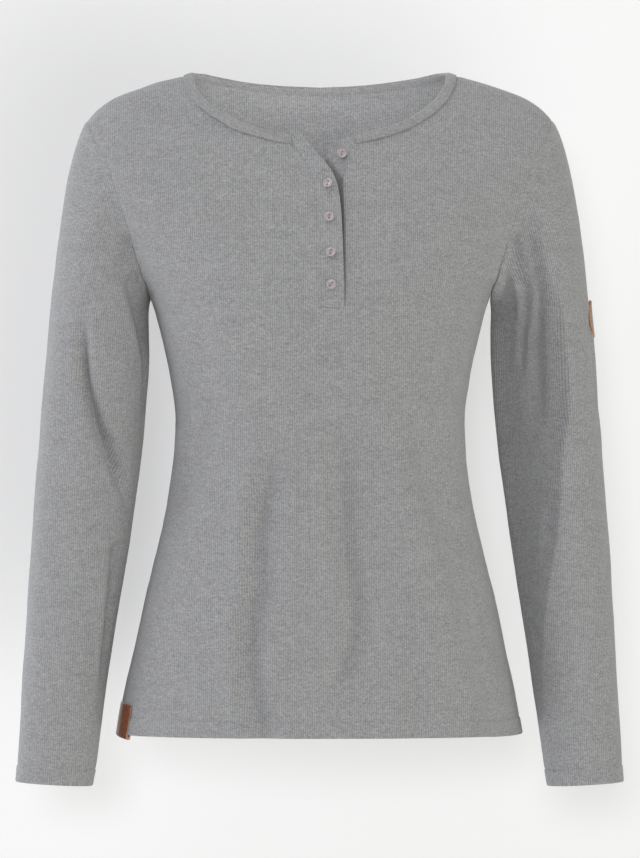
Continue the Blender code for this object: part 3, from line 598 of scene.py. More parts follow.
def gridMesh(name, grid):
    # a grid of cloth, placed point by point
    points, normals, uv = grid["points"], grid["normals"], grid["uv"]
    rows, columns = points.shape[:2]
    bm = bmesh.new()
    bmesh.ops.create_grid(bm, x_segments=columns - 1, y_segments=rows - 1, size=1.0)
    mesh = meshFrom(bm, name)
    mesh.vertices.foreach_set("co", (points.reshape(-1, 3) * mm).ravel())
    corners = np.zeros(len(mesh.loops), int)
    mesh.loops.foreach_get("vertex_index", corners)
    layer = mesh.uv_layers.new(name="cloth")
    layer.data.foreach_set("uv", (uv.reshape(-1, 2)[corners] * mm).ravel())
    mesh.update()
    facing = np.zeros(len(mesh.polygons) * 3)
    mesh.polygons.foreach_get("normal", facing)
    wanted = (normals[:-1, :-1] + normals[1:, 1:]).reshape(-1, 3)
    if (facing.reshape(-1, 3) * wanted).sum() < 0:
        mesh.flip_normals()
    return mesh


def joinGrids(name, grids):
    # the grids as one mesh, merged where they meet
    bm = bmesh.new()
    for k, grid in enumerate(grids):
        mesh = gridMesh(f"{name}{k}", grid)
        bm.from_mesh(mesh)
        bpy.data.meshes.remove(mesh)
    bmesh.ops.remove_doubles(bm, verts=bm.verts[:], dist=0.02 * mm)
    return smoothMesh(meshFrom(bm, name))


def finishPiece(name, mesh, materials, node=None, wall=None):
    for material in materials:
        mesh.materials.append(material)
    piece = newObject(name, mesh)
    if wall:
        solid = piece.modifiers.new("wall", "SOLIDIFY")
        solid.thickness = wall * mm
        solid.offset = -1
        solid.material_offset = 1  # the inner wall shows the reverse, made paler as painted light
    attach(piece, "root")
    if node:
        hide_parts(node)
    return piece


# sleeves: turn is 0 on the outer line, 90 in front, -90 behind, 180 on the inner line

sleeve = {
    "topZ": -225.0,  # first full ring, under the armpit
    "creaseStart": 95.0,  # degrees round the armhole where the sleeve starts to fold down
    "creaseTurn": 158.0,  # how far it has folded at the underarm
    "leavePull": 0.42,  # share of the cap's length over which it leaves the armhole
    "arrivePull": 0.80,  # and over which it joins the first ring
    "tuck": 2.6,  # how far its edge turns in beside the panels
    "reach": 1.6,  # and how far under them
    "capRows": 46,
    "capStep": 3.3,
    "seamDepth": 0.8,  # of the seam on the inner line
    "waves": (0.5, 0.25),  # heights of the broad and the small ones
    "pucker": 0.25,
    "facetTop": (-150.0, 110.0),  # the left sleeve's flat inner front: heights of its ends,
    "facetEnd": (-640.0, 90.0),  # each with the length over which it fades
    "facetShare": 0.95,  # how flat it lies
    "facetFacing": 0.35,  # least cosine that its depth is divided by
}
sleeveRings = Table(("z", "inner", "outer", "halfDepth", "centreY", "tilt"), (
    (-225, 161, 253.8, 56, 1, 0),
    (-258, 160.7, 257, 55, 2, 0),
    (-305, 163, 261.3, 52.5, 2, 0.5),
    (-352, 167.5, 265, 49.5, 1, 1),
    (-400, 174, 268.8, 46.5, -1, 1.5),
    (-447, 180.5, 272, 43.5, -4, 2),
    (-494, 188, 274.7, 40.5, -8, 2.5),
    (-541, 194.8, 277.3, 38, -12, 3),
    (-588, 202, 280, 35.5, -16, 3.4),
    (-644, 209.8, 283, 33, -20, 3.8),
    (-664.5, 213.4, 284.4, 32, -22, 4),
))
sleeveRidge = Table(("z", "turn"), (
    (-170, 66), (-240, 64), (-287, 63), (-310, 64), (-351, 77), (-391, 84), (-435, 95), (-478, 111),
    (-513, 124), (-600, 150), (-670, 165),
))
# As for the trunk, with (turn, z) in the paths.
sleeveFolds = {
    rightSide: foldList(
        # a long crease from the crown in to the inner line, the pocket under the armpit
        # with a thin line below it, and the drape above the wrist
        (8, 15.0, 0.03, -0.2, (110, 50), (
            (77, -196), (74, -222), (74, -245), (76, -268), (81, -290), (92, -316), (105, -340), (122, -364),
            (141, -388), (158, -414))),
        (15, 2.5, 0.1, -0.3, (60, 60), ((66, -240), (70, -280), (84, -316), (106, -350), (130, -382))),
        (12, 7.5, 0.1, -0.9, (14, 26), ((122, -186), (134, -202), (144, -222), (152, -244), (162, -270))),
        (5, 2.0, 0.5, 0.0, (14, 50), ((138, -228), (152, -255), (160, -287), (163, -345))),
        (12, 9.0, 0.1, -0.9, (10, 70), ((140, -436), (146, -454), (149, -486), (154, -530), (160, -600))),
        (7, 1.8, 0.4, 0.2, (10, 18), ((118, -446), (132, -456), (148, -470))),
        (14, 1.6, 0.25, 0.0, (40, 50), ((58, -282), (62, -334), (64, -384))),
        (12, 1.5, 0.3, 0.2, (30, 30), ((52, -430), (74, -462), (96, -484))),
        (9, 1.0, 0.3, 0.1, (20, 24), ((40, -520), (66, -540), (90, -548))),
        (8, 0.9, 0.3, 0.0, (16, 20), ((30, -600), (56, -612), (80, -616))),
        (13, 4.6, 0.3, 0.2, (40, 60), ((-74, -236), (-90, -300), (-118, -345), (-150, -385))),
        (12, 3.2, 0.3, 0.2, (30, 40), ((-52, -410), (-88, -450), (-122, -476))),
        (8, 2.0, 0.35, 0.2, (16, 22), ((-84, -398), (-110, -424), (-132, -436))),
        (12, 2.4, 0.3, 0.0, (40, 50), ((-100, -500), (-112, -560), (-116, -620))),
        (9, 2.6, 0.4, 0.2, (4, 36), ((-100, -190), (-116, -230), (-132, -268))),
    ),
    leftSide: foldList(
        # its inner half falls flat towards the trunk below a ridge, with smaller streaks
        # on it, and a second ridge runs down from the crown
        (13, 4.4, 0.1, -0.9, (50, 70), (
            (92, -128), (92, -160), (93, -205), (96, -240), (100, -275), (103, -310), (104, -345))),
        (11, 1.3, 0.2, -0.9, (36, 50), ((78, -280), (77, -310), (84, -345), (94, -380))),
        (7, 1.4, 0.45, 0.0, (16, 26), ((134, -226), (140, -256), (146, -290))),
        (9, 2.2, 0.45, -0.3, (30, 40), ((34, -200), (22, -240), (8, -285), (-4, -330))),
        (7, 1.8, 0.4, 0.2, (12, 18), ((158, -510), (146, -526), (132, -545))),
        (8, 2.4, 0.4, 0.3, (3, 30), ((112, -194), (124, -222), (138, -250))),
        (10, 1.6, 0.35, 0.1, (36, 40), ((96, -392), (104, -430), (116, -470))),
        (9, 1.1, 0.3, 0.0, (20, 24), ((38, -470), (62, -486), (88, -490))),
        (12, 2.0, 0.25, 0.0, (50, 40), ((138, -580), (136, -620), (138, -655))),
        (13, 4.4, 0.3, 0.2, (40, 60), ((-78, -246), (-96, -312), (-122, -352), (-150, -392))),
        (12, 3.2, 0.3, 0.2, (30, 40), ((-58, -428), (-92, -466), (-122, -492))),
        (8, 2.0, 0.35, 0.2, (16, 22), ((-86, -410), (-112, -438), (-134, -450))),
        (12, 2.4, 0.3, 0.0, (40, 50), ((-96, -520), (-108, -575), (-112, -630))),
        (9, 2.6, 0.4, 0.2, (4, 36), ((-98, -192), (-114, -232), (-134, -270))),
    ),
}


def ringPoint(side, z, turn):
    inner, outer = sleeveRings.at("inner", z), sleeveRings.at("outer", z)
    lean, forward = np.cos(np.radians(turn)), np.sin(np.radians(turn))
    x = (inner + outer) / 2 + (outer - inner) / 2 * lean
    y = sleeveRings.at("centreY", z) - sleeveRings.at("halfDepth", z) * forward
    return np.stack((side * x, y, z + sleeveRings.at("tilt", z) / 2 * lean), axis=-1)


def ringNormal(side, z, turn):
    small = 0.5
    roundIt = ringPoint(side, z, turn + small) - ringPoint(side, z, turn - small)
    along = ringPoint(side, z - small, turn) - ringPoint(side, z + small, turn)
    return unit(np.cross(roundIt, along)) * side


def sleeveFacet(side, z, turn):
    # how far the cloth falls in from its round section to lie flat from the ridge to the
    # inner line, on the wearer's left sleeve
    if side == rightSide:
        return np.zeros_like(z)
    (top, topFade), (end, endFade) = sleeve["facetTop"], sleeve["facetEnd"]
    share = smoothStep((top - z) / topFade) * smoothStep((z - end) / endFade)
    ridge = sleeveRidge.at("turn", z)
    begin, finish = ringPoint(side, z, ridge), ringPoint(side, z, 180 + 0 * z)
    chord = unit((finish - begin)[..., :2])
    across = np.stack((chord[..., 1], -chord[..., 0]), axis=-1) * -side
    inside = ((ringPoint(side, z, turn) - begin)[..., :2] * across).sum(-1)
    facing = (ringNormal(side, z, turn)[..., :2] * across).sum(-1)
    within = (turn > ridge) & (turn < 180)
    return np.where(within, np.maximum(inside, 0) / np.maximum(facing, sleeve["facetFacing"]), 0) * share


def ringRadius(z):
    return (sleeveRings.at("outer", z) - sleeveRings.at("inner", z)) / 4 + sleeveRings.at("halfDepth", z) / 2


def sleeveRelief(side, z, turn):
    radius = ringRadius(z)
    lift = np.zeros_like(z)
    for fold in sleeveFolds[side]:
        path = [(math.radians(a) * float(ringRadius(b)), b) for a, b in fold["path"]]
        for wrap in (-360, 0, 360):
            lift += foldHeight({**fold, "path": path}, np.radians(turn + wrap) * radius, z)
    round1, round2 = np.cos(np.radians(turn)) * radius, np.sin(np.radians(turn)) * radius
    broad, small = sleeve["waves"]
    lift += broad * softNoise(round1 + 300 + 0.6 * round2, z * 0.8 + side * 90, 34, 21)
    lift -= sleeve["facetShare"] * sleeveFacet(side, z, turn)
    return lift + small * softNoise(round1 - 0.9 * round2 + 500, z + side * 70, 17, 22)


def armholeLoop(panels, side):
    # round the armhole from the underarm up the back and down the front again
    behind, before = panels[back, side], panels[front, side]
    start = behind["skirt"]
    points = np.concatenate((behind["skin"][start:, -1], before["skin"][start:-1, -1][::-1]))
    normals = np.concatenate((behind["normals"][start:, -1], before["normals"][start:-1, -1][::-1]))
    top = len(behind["skin"]) - 1 - start
    points[[0, top, -1], 1] = 0.0
    points[-1], normals[-1] = points[0], normals[0]
    ahead = np.concatenate((points[1:], points[1:2]))
    behindPoints = np.concatenate((points[-2:-1], points[:-1]))
    away = unit(np.cross(normals, unit(ahead - behindPoints))) * side
    run = runAlong(points, 0)
    up = -180 * (1 - run[:top + 1] / run[top])
    down = 180 * (run[top + 1:] - run[top]) / (run[-1] - run[top])
    return points, normals, away, np.concatenate((up, down))


def sectionRun(points, turns):
    # distance round the sleeve from its outer line on each point's own level, so that
    # the ribs run straight down and the armhole cuts them off
    rows, columns = points.shape[:2]
    level = points[..., 2]
    zero = int(np.argmin(np.abs(turns)))
    run = np.zeros((rows, columns))
    for way in (range(zero + 1, columns), range(zero - 1, -1, -1)):
        way = list(way)
        for place, k in enumerate(way):
            here = level[:, k]
            total = np.zeros(rows)
            last = None
            for column in [zero] + way[:place + 1]:
                heights = np.maximum.accumulate(level[::-1, column]) + 1e-6 * np.arange(rows)
                spot = np.stack([np.interp(here, heights, points[::-1, column, c]) for c in range(3)], -1)
                if last is not None:
                    total += np.linalg.norm(spot - last, axis=-1)
                last = spot
            run[:, k] = total * (1 if k > zero else -1)
    return run


def laySleeve(panels, side):
    edge, edgeNormals, away, turns = armholeLoop(panels, side)
    fold = smoothStep((np.abs(turns) - sleeve["creaseStart"]) / (180 - sleeve["creaseStart"]))
    bend = np.radians(sleeve["creaseTurn"] * fold)[:, None]
    leave = away * np.cos(bend) + edgeNormals * np.sin(bend)
    end = ringPoint(side, sleeve["topZ"], turns)
    down = unit(ringPoint(side, sleeve["topZ"] - 1, turns) - end)
    reach = np.linalg.norm(end - edge, axis=-1, keepdims=True)
    shares = crowdedShares(sleeve["capRows"] * sleeve["capStep"], sleeve["capStep"], edgeRuns, (0,))
    cap = hermite(shares[:-1, None, None], edge, end, sleeve["leavePull"] * reach * leave,
                  sleeve["arrivePull"] * reach * down)
    length = sleeve["topZ"] - garment["cuffZ"]
    z = sleeve["topZ"] - length * crowdedShares(length, garment["meshStep"], (0,), hemRuns)
    points = np.concatenate((cap, ringPoint(side, z[:, None], turns[None])))
    along = np.gradient(points, axis=0)
    joined = np.concatenate((points[:, -2:-1], points, points[:, 1:2]), axis=1)
    normals = unit(np.cross(joined[:, 2:] - joined[:, :-2], along)) * side
    normals[0] = edgeNormals * np.cos(bend) - away * np.sin(bend)
    fromSeam = runAlong(points, 0)
    level = points[..., 2]
    turn = np.broadcast_to(turns, level.shape)
    lift = sleeveRelief(side, level, turn) * smoothStep(fromSeam / 9)
    toInner = np.radians(180 - np.abs(turn)) * ringRadius(level)
    lift += seamValley(fromSeam) + seamValley(toInner, sleeve["seamDepth"]) * smoothStep(fromSeam / 20)
    lift += hemRelief(fromSeam[-1] - fromSeam)
    pucker = softNoise(np.cos(np.radians(turn)) * 60 + 400, np.sin(np.radians(turn)) * 60 + 200, 7, 23)
    lift += sleeve["pucker"] * pucker * np.exp(-fromSeam / 6) * smoothStep(fromSeam / 3)
    zero = int(np.argmin(np.abs(turns)))
    v = np.interp(level, level[::-1, zero], -fromSeam[::-1, zero])
    uv = np.stack((sectionRun(points, turns), v), axis=-1)
    points = points + normals * lift[..., None]
    turnedIn = points[:1] - edgeNormals * sleeve["tuck"] - away * sleeve["reach"]
    return {"points": np.concatenate((turnedIn, points)), "normals": np.concatenate((normals[:1], normals)),
            "uv": np.concatenate((uv[:1], uv))}


# the binding round the neck

binding = {
    "profile": ((8.1, 0.1), (8.1, 0.55), (7.6, 1.0), (6.9, 1.05), (6.5, 0.8), (5.5, 1.15), (3, 1.25),
                (1, 1.2), (-0.9, 0.75), (-1.6, -0.1), (-1.6, -1.2), (-0.9, -2.05), (1, -2.5), (3, -2.55),
                (6, -2.4), (6.8, -2.2), (7, -1.6)),  # (into the panel, above it)
    "wall": 0.6,
    "ribStretch": 1.13,
}


def neckPath(panels):
    # points, normals and directions into the panels, from the opening's left corner
    # round the back of the neck to its right corner
    parts = []
    for face, side, climbs in ((front, leftSide, True), (back, leftSide, False),
                               (back, rightSide, True), (front, rightSide, False)):
        panel = panels[face, side]
        rows = slice(panel["skirt"] + panel["chest"], None)
        edge = panel["skin"][rows, 0]
        inward = panel["skin"][rows, 3] - edge
        part = np.stack((edge, panel["normals"][rows, 0], inward), axis=1)
        part = part if climbs else part[::-1]
        parts.append(part if not parts else part[1:])
    path = np.concatenate(parts)
    points, normals = path[:, 0], path[:, 1]
    tangents = unit(np.gradient(points, axis=0))
    into = unit(np.cross(normals, tangents))
    into *= np.sign((into * path[:, 2]).sum(axis=-1, keepdims=True))
    upwards = np.cross(tangents, into)
    upwards *= np.sign((upwards * normals).sum(axis=-1, keepdims=True))
    return points, unit(upwards), into


def layBinding(panels):
    points, normals, into = neckPath(panels)
    profile = np.array(binding["profile"], float)
    grid = (points[:, None] + into[:, None] * profile[None, :, :1] + normals[:, None] * profile[None, :, 1:])
    outward = np.gradient(profile, axis=0)
    facing = into[:, None] * outward[None, :, 1:] - normals[:, None] * outward[None, :, :1]
    run = runAlong(points, 0) * binding["ribStretch"]
    over = runAlong(profile, 0)
    uv = np.stack(np.broadcast_arrays(run[:, None], over[None]), axis=-1)
    return {"points": grid, "normals": facing, "uv": uv}


# the two bands of the opening

bands = {
    "gap": 0.05,  # of the lower band to the front
    "overlap": 0.7,  # of the upper band on the front's edge
    "neckOverlap": 1.2,  # how much more near the neck, from neckZ up, and
    "neckLift": 0.8,  # how far it stands off the cloth there
    "neckZ": -74.0,
    "upperTop": -61.6,
    "underTop": -59.8,
    "underDepth": 3.2,  # the lower band's face, below the face of the front
    # z of the lower band, and how much deeper its far edge lies there
    "sag": ((-200, 0.3), (-160, 1.2), (-130, 3.2), (-104, 5.0), (-62, 5.5)),
    "wall": 0.8,
    "tuck": 7.0,  # how far the upper band returns beneath itself
    "step": 2.2,
}


def layBand(rows, ribsRun):
    # rows of (z, where the ribs are counted from, places across, their lifts); ribsRun is
    # 1 or -1, the way that the ribs are counted
    grid, facing, uv = [], [], []
    for z, start, across, lifts in rows:
        point, normal = chestSkin(across, np.full_like(across, z), lifts)
        grid.append(point)
        facing.append(normal)
        uv.append(np.column_stack((ribsRun * runAlong(point, 0) + start, np.full(len(across), z))))
    return {"points": np.array(grid), "normals": np.array(facing), "uv": np.array(uv)}


def upperBandRows():
    low, top = garment["slitEndZ"], bands["upperTop"]
    inside = np.arange(low + 3, top - 1.2, bands["step"])
    heights = np.concatenate((low + np.array((-1.2, -0.8, -0.3, 0.5, 1.6)), inside,
                              top - np.array((1.0, 0.4, 0.1, 0.0))))
    ends = heights[[0, 2, 3, 4, -4, -3, -2, -1]]
    sunkEnds = np.interp(heights, ends, (-1.7, -0.6, -0.2, 0, 0, -0.1, -0.4, -0.9))
    shares = np.array((0, 0.03, 0.07, 0.12, 0.2, 0.3, 0.42, 0.55, 0.68, 0.8, 0.9, 1.0))
    rises = np.interp(shares, (0, 0.25, 0.6, 1), (0, 0.35, 0.8, 1))
    turn = np.radians(np.array((22, 45, 68, 90, 112, 135, 158, 180)))
    for z, sunk in zip(heights, sunkEnds):
        seam, free, lift, roll = (float(opening.at(c, z)) for c in ("rightEdge", "freeEdge", "lift", "roll"))
        atNeck = smoothStep((z - bands["neckZ"]) / 10)
        seam -= bands["overlap"] + bands["neckOverlap"] * atNeck
        flat = seam + (free - roll - seam) * shares
        rise = lift * rises + 0.28 * smoothStep(shares / 0.06) - 0.12 + bands["neckLift"] * atNeck
        across = np.concatenate((flat, free - roll + roll * np.sin(turn),
                                 free - roll - bands["tuck"] * np.array((0.3, 0.65, 1.0))))
        top = float(rise[-1])
        lifts = np.concatenate((rise, top - roll + roll * np.cos(turn), np.full(3, top - 2 * roll)))
        yield z, seam, across, lifts + sunk


def underBandRows():
    low, top = garment["slitEndZ"], bands["underTop"]
    inside = np.arange(low + 1.5, top - 2.6, bands["step"])
    heights = np.concatenate(([low + 0.4], inside, top - np.array((2.0, 1.2, 0.6, 0.2, 0.0))))
    ends = heights[[0, 1, -5, -4, -3, -2, -1]]
    sunkEnds = np.interp(heights, ends, (0, 0, 0, -0.15, -0.5, -1.0, -1.8))
    shares = np.array((0, 0.03, 0.07, 0.12, 0.2, 0.35, 0.5, 0.65, 0.8, 0.9, 0.96))
    for z, sunk in zip(heights, sunkEnds):
        seam = float(opening.at("leftEdge", z)) - bands["gap"]
        free = float(opening.at("underEdge", z))
        across = np.concatenate((seam + (free - seam) * shares, [free + 0.3, free, free + 0.2, free + 1.0]))
        sag = float(np.interp(z, *zip(*bands["sag"])))
        lifts = (-0.2 - (bands["underDepth"] - 0.2) * smoothStep(shares / 0.16)
                 - sag * smoothStep((shares - 0.1) / 0.6))
        yield z, 0.0, across, np.concatenate((lifts, lifts[-1] - np.array((0.3, 0.9, 1.5, 1.9)))) + sunk


# buttons

buttons = {
    "size": 9.2,  # between 14 and 15 ligne
    "hole": 1.7,
    "holePitch": 3.6,
    "steps": 56,
    "gap": 0.5,
    "tip": 0.31,  # how far a turned button stands off, as a share of its size
    "thread": 0.1,  # half its thickness
    "threadShift": 0.3,  # of its two loops, to each side
    "sharp": 38,  # degrees from which an edge is sharp
    # radius, as a share of the whole, and height, from the sunk middle over the rim to below
    "profile": ((0, 1.12), (0.3, 1.12), (0.52, 1.18), (0.62, 1.38), (0.69, 1.75), (0.76, 1.97), (0.84, 2.0),
                (0.91, 1.9), (0.97, 1.65), (1, 1.3), (0.985, 0.85), (0.9, 0.45), (0.62, 0.0), (0, 0)),
    # the thread's way through the holes, as a share of half their pitch, and height
    "loop": ((-1, -0.6), (-1, 0.7), (-0.93, 1.25), (-0.6, 1.5), (0, 1.58), (0.6, 1.5), (0.93, 1.25),
             (1, 0.7), (1, -0.6)),
    # name, across, z, lift of the cloth below, turn about the vertical, spin, in degrees
    "places": (
        ("button_1", 20.1, -77.2, -1.9, 8, 70),
        ("button_2", 7.4, -108.2, 4.6, -24, 79),
        ("button_3", 8.6, -138.6, 3.2, -8, 85),
        ("button_4", 9.7, -171.3, 2.4, -4, 84),
        ("button_5", 10.1, -200.5, 1.9, 0, 55),
    ),
}


def spunSolid(profile, steps, merge):
    # a solid turned about the Z axis from pairs of radius and height
    bm = bmesh.new()
    verts = [bm.verts.new((x, 0, z)) for x, z in profile]
    for pair in zip(verts, verts[1:]):
        bm.edges.new(pair)
    bmesh.ops.spin(bm, geom=bm.verts[:] + bm.edges[:], cent=(0, 0, 0), axis=(0, 0, 1), angle=math.tau,
                   steps=steps, use_merge=True, use_duplicate=False)
    bmesh.ops.remove_doubles(bm, verts=bm.verts[:], dist=merge)
    bmesh.ops.recalc_face_normals(bm, faces=bm.faces)
    return bm


def holedButton():
    # the holes are cut once and every button uses the result
    bm = bmesh.new()
    for end in (-1, 1):
        made = bmesh.ops.create_cone(bm, cap_ends=True, segments=20, radius1=buttons["hole"] / 2 * mm,
                                     radius2=buttons["hole"] / 2 * mm, depth=12 * mm)
        bmesh.ops.translate(bm, verts=made["verts"], vec=(end * buttons["holePitch"] / 2 * mm, 0, 0))
    cutter = newObject("holes", meshFrom(bm, "holes"))
    radius = buttons["size"] / 2
    profile = [(radius * share * mm, height * mm) for share, height in buttons["profile"]]
    blank = newObject("blank", meshFrom(spunSolid(profile, buttons["steps"], 0.01 * mm), "blank"))
    cut = blank.modifiers.new("holes", "BOOLEAN")
    cut.operation = "DIFFERENCE"
    cut.object = cutter
    bpy.context.view_layer.update()
    done = bpy.data.meshes.new_from_object(blank.evaluated_get(bpy.context.evaluated_depsgraph_get()))
    for spare in (blank.data, cutter.data):
        bpy.data.meshes.remove(spare)  # and the objects with them
    return done


def buttonMatrix(across, z, lift, turn, spin):
    point, normal = (v[0] for v in chestSkin(np.array([float(across)]), np.array([float(z)])))
    tip = abs(math.sin(math.radians(turn))) * buttons["size"] * buttons["tip"]
    spot = (point + normal * (lift + buttons["gap"] + tip)) * mm
    facing = math.atan2(normal[0], -normal[1]) + math.radians(turn)
    return (Matrix.Translation(spot) @ Matrix.Rotation(facing, 4, "Z")
            @ Matrix.Rotation(math.pi / 2 - math.asin(normal[2]), 4, "X")
            @ Matrix.Rotation(math.radians(spin), 4, "Z"))


def tubeThrough(bm, points, radius, sides=8):
    # a round thread along a path, closed at both ends
    rings = []
    for k, point in enumerate(points):
        ahead = points[min(k + 1, len(points) - 1)] - points[max(k - 1, 0)]
        turn = ahead.to_track_quat("Z", "Y").to_matrix()
        ring = [point + turn @ Vector((math.cos(a) * radius, math.sin(a) * radius, 0))
                for a in (math.tau * j / sides for j in range(sides))]
        rings.append([bm.verts.new(p) for p in ring])
    for a, b in zip(rings, rings[1:]):
        for j in range(sides):
            bm.faces.new((a[j], a[(j + 1) % sides], b[(j + 1) % sides], b[j]))
    bm.faces.new(rings[0][::-1])
    bm.faces.new(rings[-1])


def addButtons(pearl, threadFinish):
    shared = holedButton()
    threads = bmesh.new()
    half = buttons["holePitch"] / 2
    for name, across, z, lift, turn, spin in buttons["places"]:
        place = buttonMatrix(across, z, lift, turn, spin)
        mesh = shared.copy()
        mesh.name = name + "_made"
        mesh.transform(place)
        finishPiece(name + "_made", smoothMesh(mesh, buttons["sharp"]), (pearl,), name)
        for shift in (-buttons["threadShift"], buttons["threadShift"]):
            tubeThrough(threads, [place @ Vector((half * share * mm, shift * mm, height * mm))
                                  for share, height in buttons["loop"]], buttons["thread"] * mm)
    bpy.data.meshes.remove(shared)
    bmesh.ops.recalc_face_normals(threads, faces=threads.faces)
    finishPiece("button_threads", smoothMesh(meshFrom(threads, "button_threads")), (threadFinish,))


# leather

leather = {
    "wall": 1.4,
    "sharp": 50,  # degrees from which an edge is sharp
    "rim": 0.35,  # rounding of the cut edges
    "labelFrom": 69.9,  # the hem label's edges, in degrees round the trunk
    "labelTo": 84.4,
    "labelTop": 28.5,  # height of its outer leg above the hem
    "labelTuck": 16.0,  # and of its inner leg
    "labelSlant": 3.0,  # how much higher its outer side sits
    "labelClear": 0.9,  # of the cloth, on both sides
    "labelBend": 2.4,  # how far its fold hangs below the hem
    "labelEdges": (0.35, 0.1) + (0.0,) * 7 + (0.1, 0.35),  # how much thinner it is across
    "patchRadius": 17.5,
    "patchWall": 2.0,
    "patchEdge": 0.6,  # width of its raw edge
    "patchSteps": 72,
    "patchZ": -229.5,
    "patchClear": 0.5,
    "patchStitches": 2.2,  # from the edge
}


def labelOutline():
    # side view of the folded tab: (height above the hem, depth above the cloth)
    wall, top, tuck, clear = (leather[c] for c in ("wall", "labelTop", "labelTuck", "labelClear"))
    lift, under = clear, -garment["wall"] - clear
    bend = [(-clear - leather["labelBend"] * math.sin(a),
             (lift + under) / 2 + ((lift - under) / 2 + wall) * math.cos(a))
            for a in np.radians(np.arange(15, 180, 15))]
    outer = [(top, lift + 0.35), (top - 0.25, lift + wall - 0.25), (top - 0.7, lift + wall)]
    outer += [(h, lift + wall) for h in np.linspace(top - 2, 0.6, 12)]
    inner = [(h, under - wall) for h in np.linspace(0.6, tuck, 6)]
    behind = [(tuck, under), (6, under), (0.4, under), (-0.7, (lift + under) / 2), (0.4, lift), (8, lift),
              (18, lift), (top, lift), outer[0]]
    return np.array(outer + bend + inner + behind)


def layLabel():
    outline = labelOutline()
    width = np.linspace(0, 1, 11)
    angles = -(leather["labelFrom"] + (leather["labelTo"] - leather["labelFrom"]) * width)
    height, depth = outline[:, 0][None], outline[:, 1][None]
    z = garment["hemZ"] + height + leather["labelSlant"] * (width[:, None] - 0.35)
    angle = angles[:, None] + 0 * z
    points, normals = panelSkin(front, np.stack((angle, turnAt(front, angle, z)), -1))
    thinner = np.array(leather["labelEdges"])[:, None]
    points = points + normals * (depth + (depth.mean() - depth) * thinner * 0.6)[..., None]
    facing = np.gradient(outline, axis=0)
    up = unit(np.cross(normals, unit(np.gradient(points, axis=0))))
    up *= np.sign(up[..., 2:])
    way = up * facing[None, :, 1:] - normals * facing[None, :, :1]
    uv = np.stack(np.broadcast_arrays(runAlong(points[:, 5], 0)[:, None], runAlong(outline, 0)[None]), -1)
    return {"points": points, "normals": -way, "uv": uv}


def addLabel(finishes):
    # the tab is a tube of a grid, whose open ends are filled
    mesh = joinGrids("hem_label_made", [layLabel()])
    bm = bmesh.new()
    bm.from_mesh(mesh)
    bpy.data.meshes.remove(mesh)
    bmesh.ops.holes_fill(bm, edges=[e for e in bm.edges if e.is_boundary], sides=0)
    bmesh.ops.recalc_face_normals(bm, faces=bm.faces)
    for face in bm.faces:
        face.material_index = int(len(face.verts) > 4)
    mesh = smoothMesh(meshFrom(bm, "hem_label_made"), leather["sharp"])
    finishPiece("hem_label_made", mesh, finishes, "hem_label")


def patchPlace(flat):
    # from (round the sleeve, up, off the cloth) to the outer side of the left sleeve
    top = sleeve["topZ"]
    z = leather["patchZ"] + flat[:, 1]
    section = np.minimum(z, top)
    turn = np.degrees(flat[:, 0] / sleeveRings.at("halfDepth", section))
    base = ringPoint(leftSide, section, turn)
    slope = ringPoint(leftSide, top, turn) - ringPoint(leftSide, top - 1, turn)
    base = base + slope * np.maximum(z - top, 0)[:, None]
    normal = ringNormal(leftSide, np.minimum(section, top - 1), turn)
    return base + normal * (flat[:, 2:] + leather["patchClear"])


def addPatch(finishes):
    radius, wall, rim = leather["patchRadius"], leather["patchWall"], leather["rim"]
    profile = [(r, wall) for r in np.linspace(0, radius - rim, 9)]
    profile += [(radius - rim * 0.3, wall - rim * 0.3), (radius, wall - rim), (radius, 0.2), (radius - 1, 0),
                (12, 0), (6, 0), (0, 0)]
    bm = spunSolid(profile, leather["patchSteps"], 0.001)
    for face in bm.faces:
        face.material_index = int(face.calc_center_median().xy.length > radius - leather["patchEdge"])
    flat = np.array([tuple(v.co) for v in bm.verts])
    for vert, place in zip(bm.verts, patchPlace(flat)):
        vert.co = place * mm
    mesh = smoothMesh(meshFrom(bm, "sleeve_patch_made"), leather["sharp"])
    finishPiece("sleeve_patch_made", mesh, finishes, "sleeve_patch")


# stitches: short round-ended threads that lie along a seam

stitches = {
    "plain": {"pitch": 2.7, "length": 1.9, "thick": 0.3},
    "fine": {"pitch": 2.4, "length": 1.6, "thick": 0.24},
    "sink": 0.1,  # into the cloth
    "binding": ((6.6, 0.85, 1), (6.3, -2.3, -1)),  # into the panel, above it, side that shows
    "band": (1.9, 0.75),  # from the opening's edge, above the cloth
    "barUp": 2.0,  # the row across the opening's lower end
    "barAcross": (-0.5, 22.0),
    "barLift": (0.7, 1.9),
}


def stitchRow(bm, points, normals, pitch, length, thick):
    run = runAlong(points, 0)
    count = int(run[-1] / pitch)

    def spotAt(rows, place):
        return Vector([np.interp(place, run, rows[:, c]) for c in range(3)])

    for k in range(count):
        middle = (k + 0.5) * run[-1] / count
        here = spotAt(points, middle)
        ahead = spotAt(points, middle + 0.5) - here
        if ahead.length < 1e-6:
            continue
        up = spotAt(normals, middle).normalized()
        side = up.cross(ahead).normalized()
        ahead = side.cross(up).normalized()
        basis = Matrix((ahead * length / 2, side * thick, up * thick)).transposed().to_4x4()
        place = Matrix.Translation((here - up * stitches["sink"]) * mm) @ Matrix.Scale(mm, 4) @ basis
        bmesh.ops.create_icosphere(bm, subdivisions=1, radius=1.0, matrix=place)


def addStitches(name, rows, finish, kind="plain"):
    bm = bmesh.new()
    for points, normals in rows:
        stitchRow(bm, points, normals, **stitches[kind])
    finishPiece(name, smoothMesh(meshFrom(bm, name)), (finish,))


# materials

